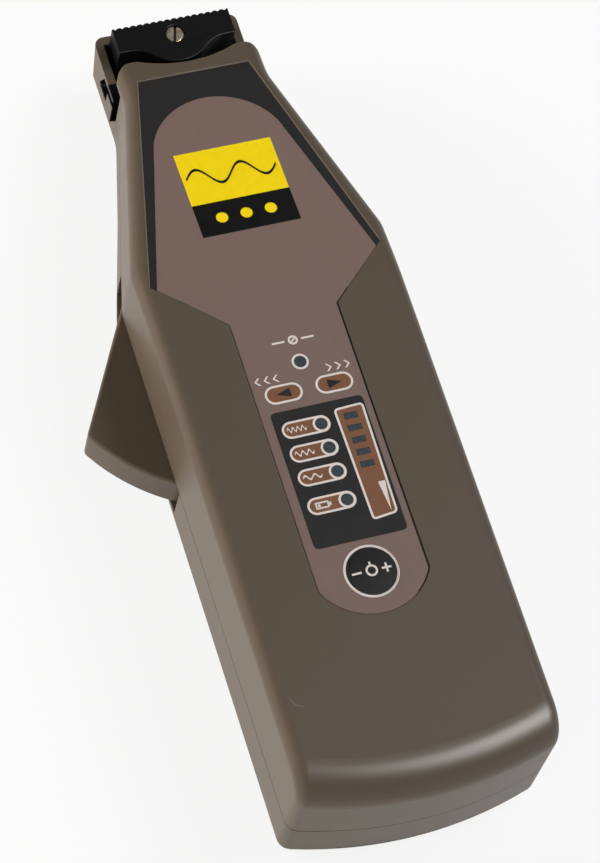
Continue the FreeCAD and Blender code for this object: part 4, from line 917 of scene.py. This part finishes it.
class FIBRE_OT_head(bpy.types.Operator):
    """Finish the clamping head: block, jaw, screw and detectors"""
    bl_idname = "fibre.head"
    bl_label = "Clamping head"

    def execute(self, context):
        colours = context.scene.fibre_colours
        dress(moulded_plastic("black_plastic", colours.block, (0.36, 0.44)), "head_block", "clamp_jaw")
        nickel = plated_metal("nickel_plate", colours.nickel, rough=(0.16, 0.3), stretch=(1.0, 0.2, 1.0),
                              metal=0.6, tarnish=colours.tarnish)
        dress(nickel, "block_screw")
        dress(clear_resin("detector_glass", colours.lens), "photodiodes")
        return {"FINISHED"}


class FIBRE_OT_mechanism(bpy.types.Operator):
    """Finish the plunger, the trigger's pin, the spring and the screws, and put in a copy of the spring that
    rides on the housing
    """
    bl_idname = "fibre.mechanism"
    bl_label = "Mechanism"

    def execute(self, context):
        colours = context.scene.fibre_colours
        dress(moulded_plastic("grey_plastic", colours.steel), "plunger_bar")
        steel = plated_metal("drawn_steel", colours.steel, rough=(0.2, 0.36), stretch=(1.0, 1.0, 0.2))
        dress(steel, "return_spring", "trigger_pin", "case_screws", "board_screws")
        coil = bpy.data.objects.new("return_coil", NODES["return_spring"].data.copy())
        context.scene.collection.objects.link(coil)
        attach(coil, "housing")
        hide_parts("return_spring")
        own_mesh(coil)
        return {"FINISHED"}


class FIBRE_OT_inside(bpy.types.Operator):
    """Finish the circuit board, its parts and the battery"""
    bl_idname = "fibre.inside"
    bl_label = "Inside"

    def execute(self, context):
        colours = context.scene.fibre_colours
        dress(board_laminate("board_laminate", colours.laminate), "circuit_board")
        dress(moulded_plastic("chip_resin", colours.charcoal), "board_chips", "button_switch", "battery_snap")
        dress(printed_film("battery_sleeve", colours.battery), "battery")
        return {"FINISHED"}


class FIBRE_OT_stage(bpy.types.Operator):
    """Set the floor, the soft lights and the camera"""
    bl_idname = "fibre.stage"
    bl_label = "Stage"

    def execute(self, context):
        scene, stage = context.scene, context.scene.fibre_stage
        self.lay_floor(scene, stage)
        scene.world = white_walls("studio", stage.ambient, stage.horizon)
        warm = (1.0, 0.95, 0.9)
        soft_light("side_light", stage.side_place, stage.low_size, stage.side, warm)
        soft_light("front_light", stage.front_place, stage.low_size, stage.front)
        soft_light("top_light", stage.top_place, stage.top_size, stage.top)
        soft_light("glint_light", stage.glint_place, stage.glint_size, stage.glint, only_gloss=True)
        self.set_camera(scene, stage)
        scene.view_settings.view_transform = "Standard"
        return {"FINISHED"}

    def lay_floor(self, scene, stage):
        """A wide plain floor, just clear of the rear face."""
        bm = bmesh.new()
        bmesh.ops.create_grid(bm, x_segments=1, y_segments=1, size=stage.floor_reach)
        mesh = bpy.data.meshes.new("floor")
        bm.to_mesh(mesh)
        bm.free()
        mesh.materials.append(studio_floor("floor_paper", stage.floor, stage.glow))
        ground = bpy.data.objects.new("floor", mesh)
        ground.location.z = -stage.floor_drop
        scene.collection.objects.link(ground)

    def set_camera(self, scene, stage):
        """The camera, on a sphere round its target."""
        target = Vector((stage.target_x, stage.target_y, FACE_TOP))
        level = math.cos(stage.elevation)
        back = Vector((math.sin(stage.azimuth) * level, -math.cos(stage.azimuth) * level,
                       math.sin(stage.elevation)))
        optics = bpy.data.cameras.new("camera")
        optics.lens = stage.lens
        optics.sensor_width = 36
        camera = bpy.data.objects.new("camera", optics)
        turn = (-back).to_track_quat("-Z", "Y").to_matrix().to_4x4()
        roll = Matrix.Rotation(stage.roll, 4, "Z")
        camera.matrix_world = Matrix.Translation(target + back * stage.distance) @ turn @ roll
        scene.collection.objects.link(camera)
        scene.camera = camera


STEPS = (
    FIBRE_OT_housing, FIBRE_OT_label, FIBRE_OT_sign, FIBRE_OT_panel, FIBRE_OT_arrows, FIBRE_OT_lamps,
    FIBRE_OT_button, FIBRE_OT_head, FIBRE_OT_mechanism, FIBRE_OT_inside, FIBRE_OT_stage,
)


class FIBRE_PT_panel(bpy.types.Panel):
    """Sidebar list of the steps and settings"""
    bl_idname = "FIBRE_PT_panel"
    bl_label = "Fibre Identifier"
    bl_space_type = "VIEW_3D"
    bl_region_type = "UI"
    bl_category = "Fibre Identifier"

    def draw(self, context):
        for step in STEPS:
            self.layout.operator(step.bl_idname)
        for group in (context.scene.fibre_colours, context.scene.fibre_label, context.scene.fibre_stage):
            box = self.layout.box()
            for name in group.bl_rna.properties.keys():
                if name not in ("rna_type", "name"):
                    box.prop(group, name)


GROUPS = (FinishColours, LabelSizes, StageSettings)


def register():
    """Register the settings, the operators and the panel."""
    for kind in GROUPS + STEPS + (FIBRE_PT_panel,):
        bpy.utils.register_class(kind)
    bpy.types.Scene.fibre_colours = PointerProperty(type=FinishColours)
    bpy.types.Scene.fibre_label = PointerProperty(type=LabelSizes)
    bpy.types.Scene.fibre_stage = PointerProperty(type=StageSettings)


def unregister():
    """Take back what register does, in reverse."""
    del bpy.types.Scene.fibre_stage
    del bpy.types.Scene.fibre_label
    del bpy.types.Scene.fibre_colours
    for kind in reversed(GROUPS + STEPS + (FIBRE_PT_panel,)):
        bpy.utils.unregister_class(kind)


def main():
    """Build the looks in order."""
    register()
    for step in STEPS:
        family, name = step.bl_idname.split(".")
        getattr(getattr(bpy.ops, family), name)()


if __name__ == "__main__":
    main()
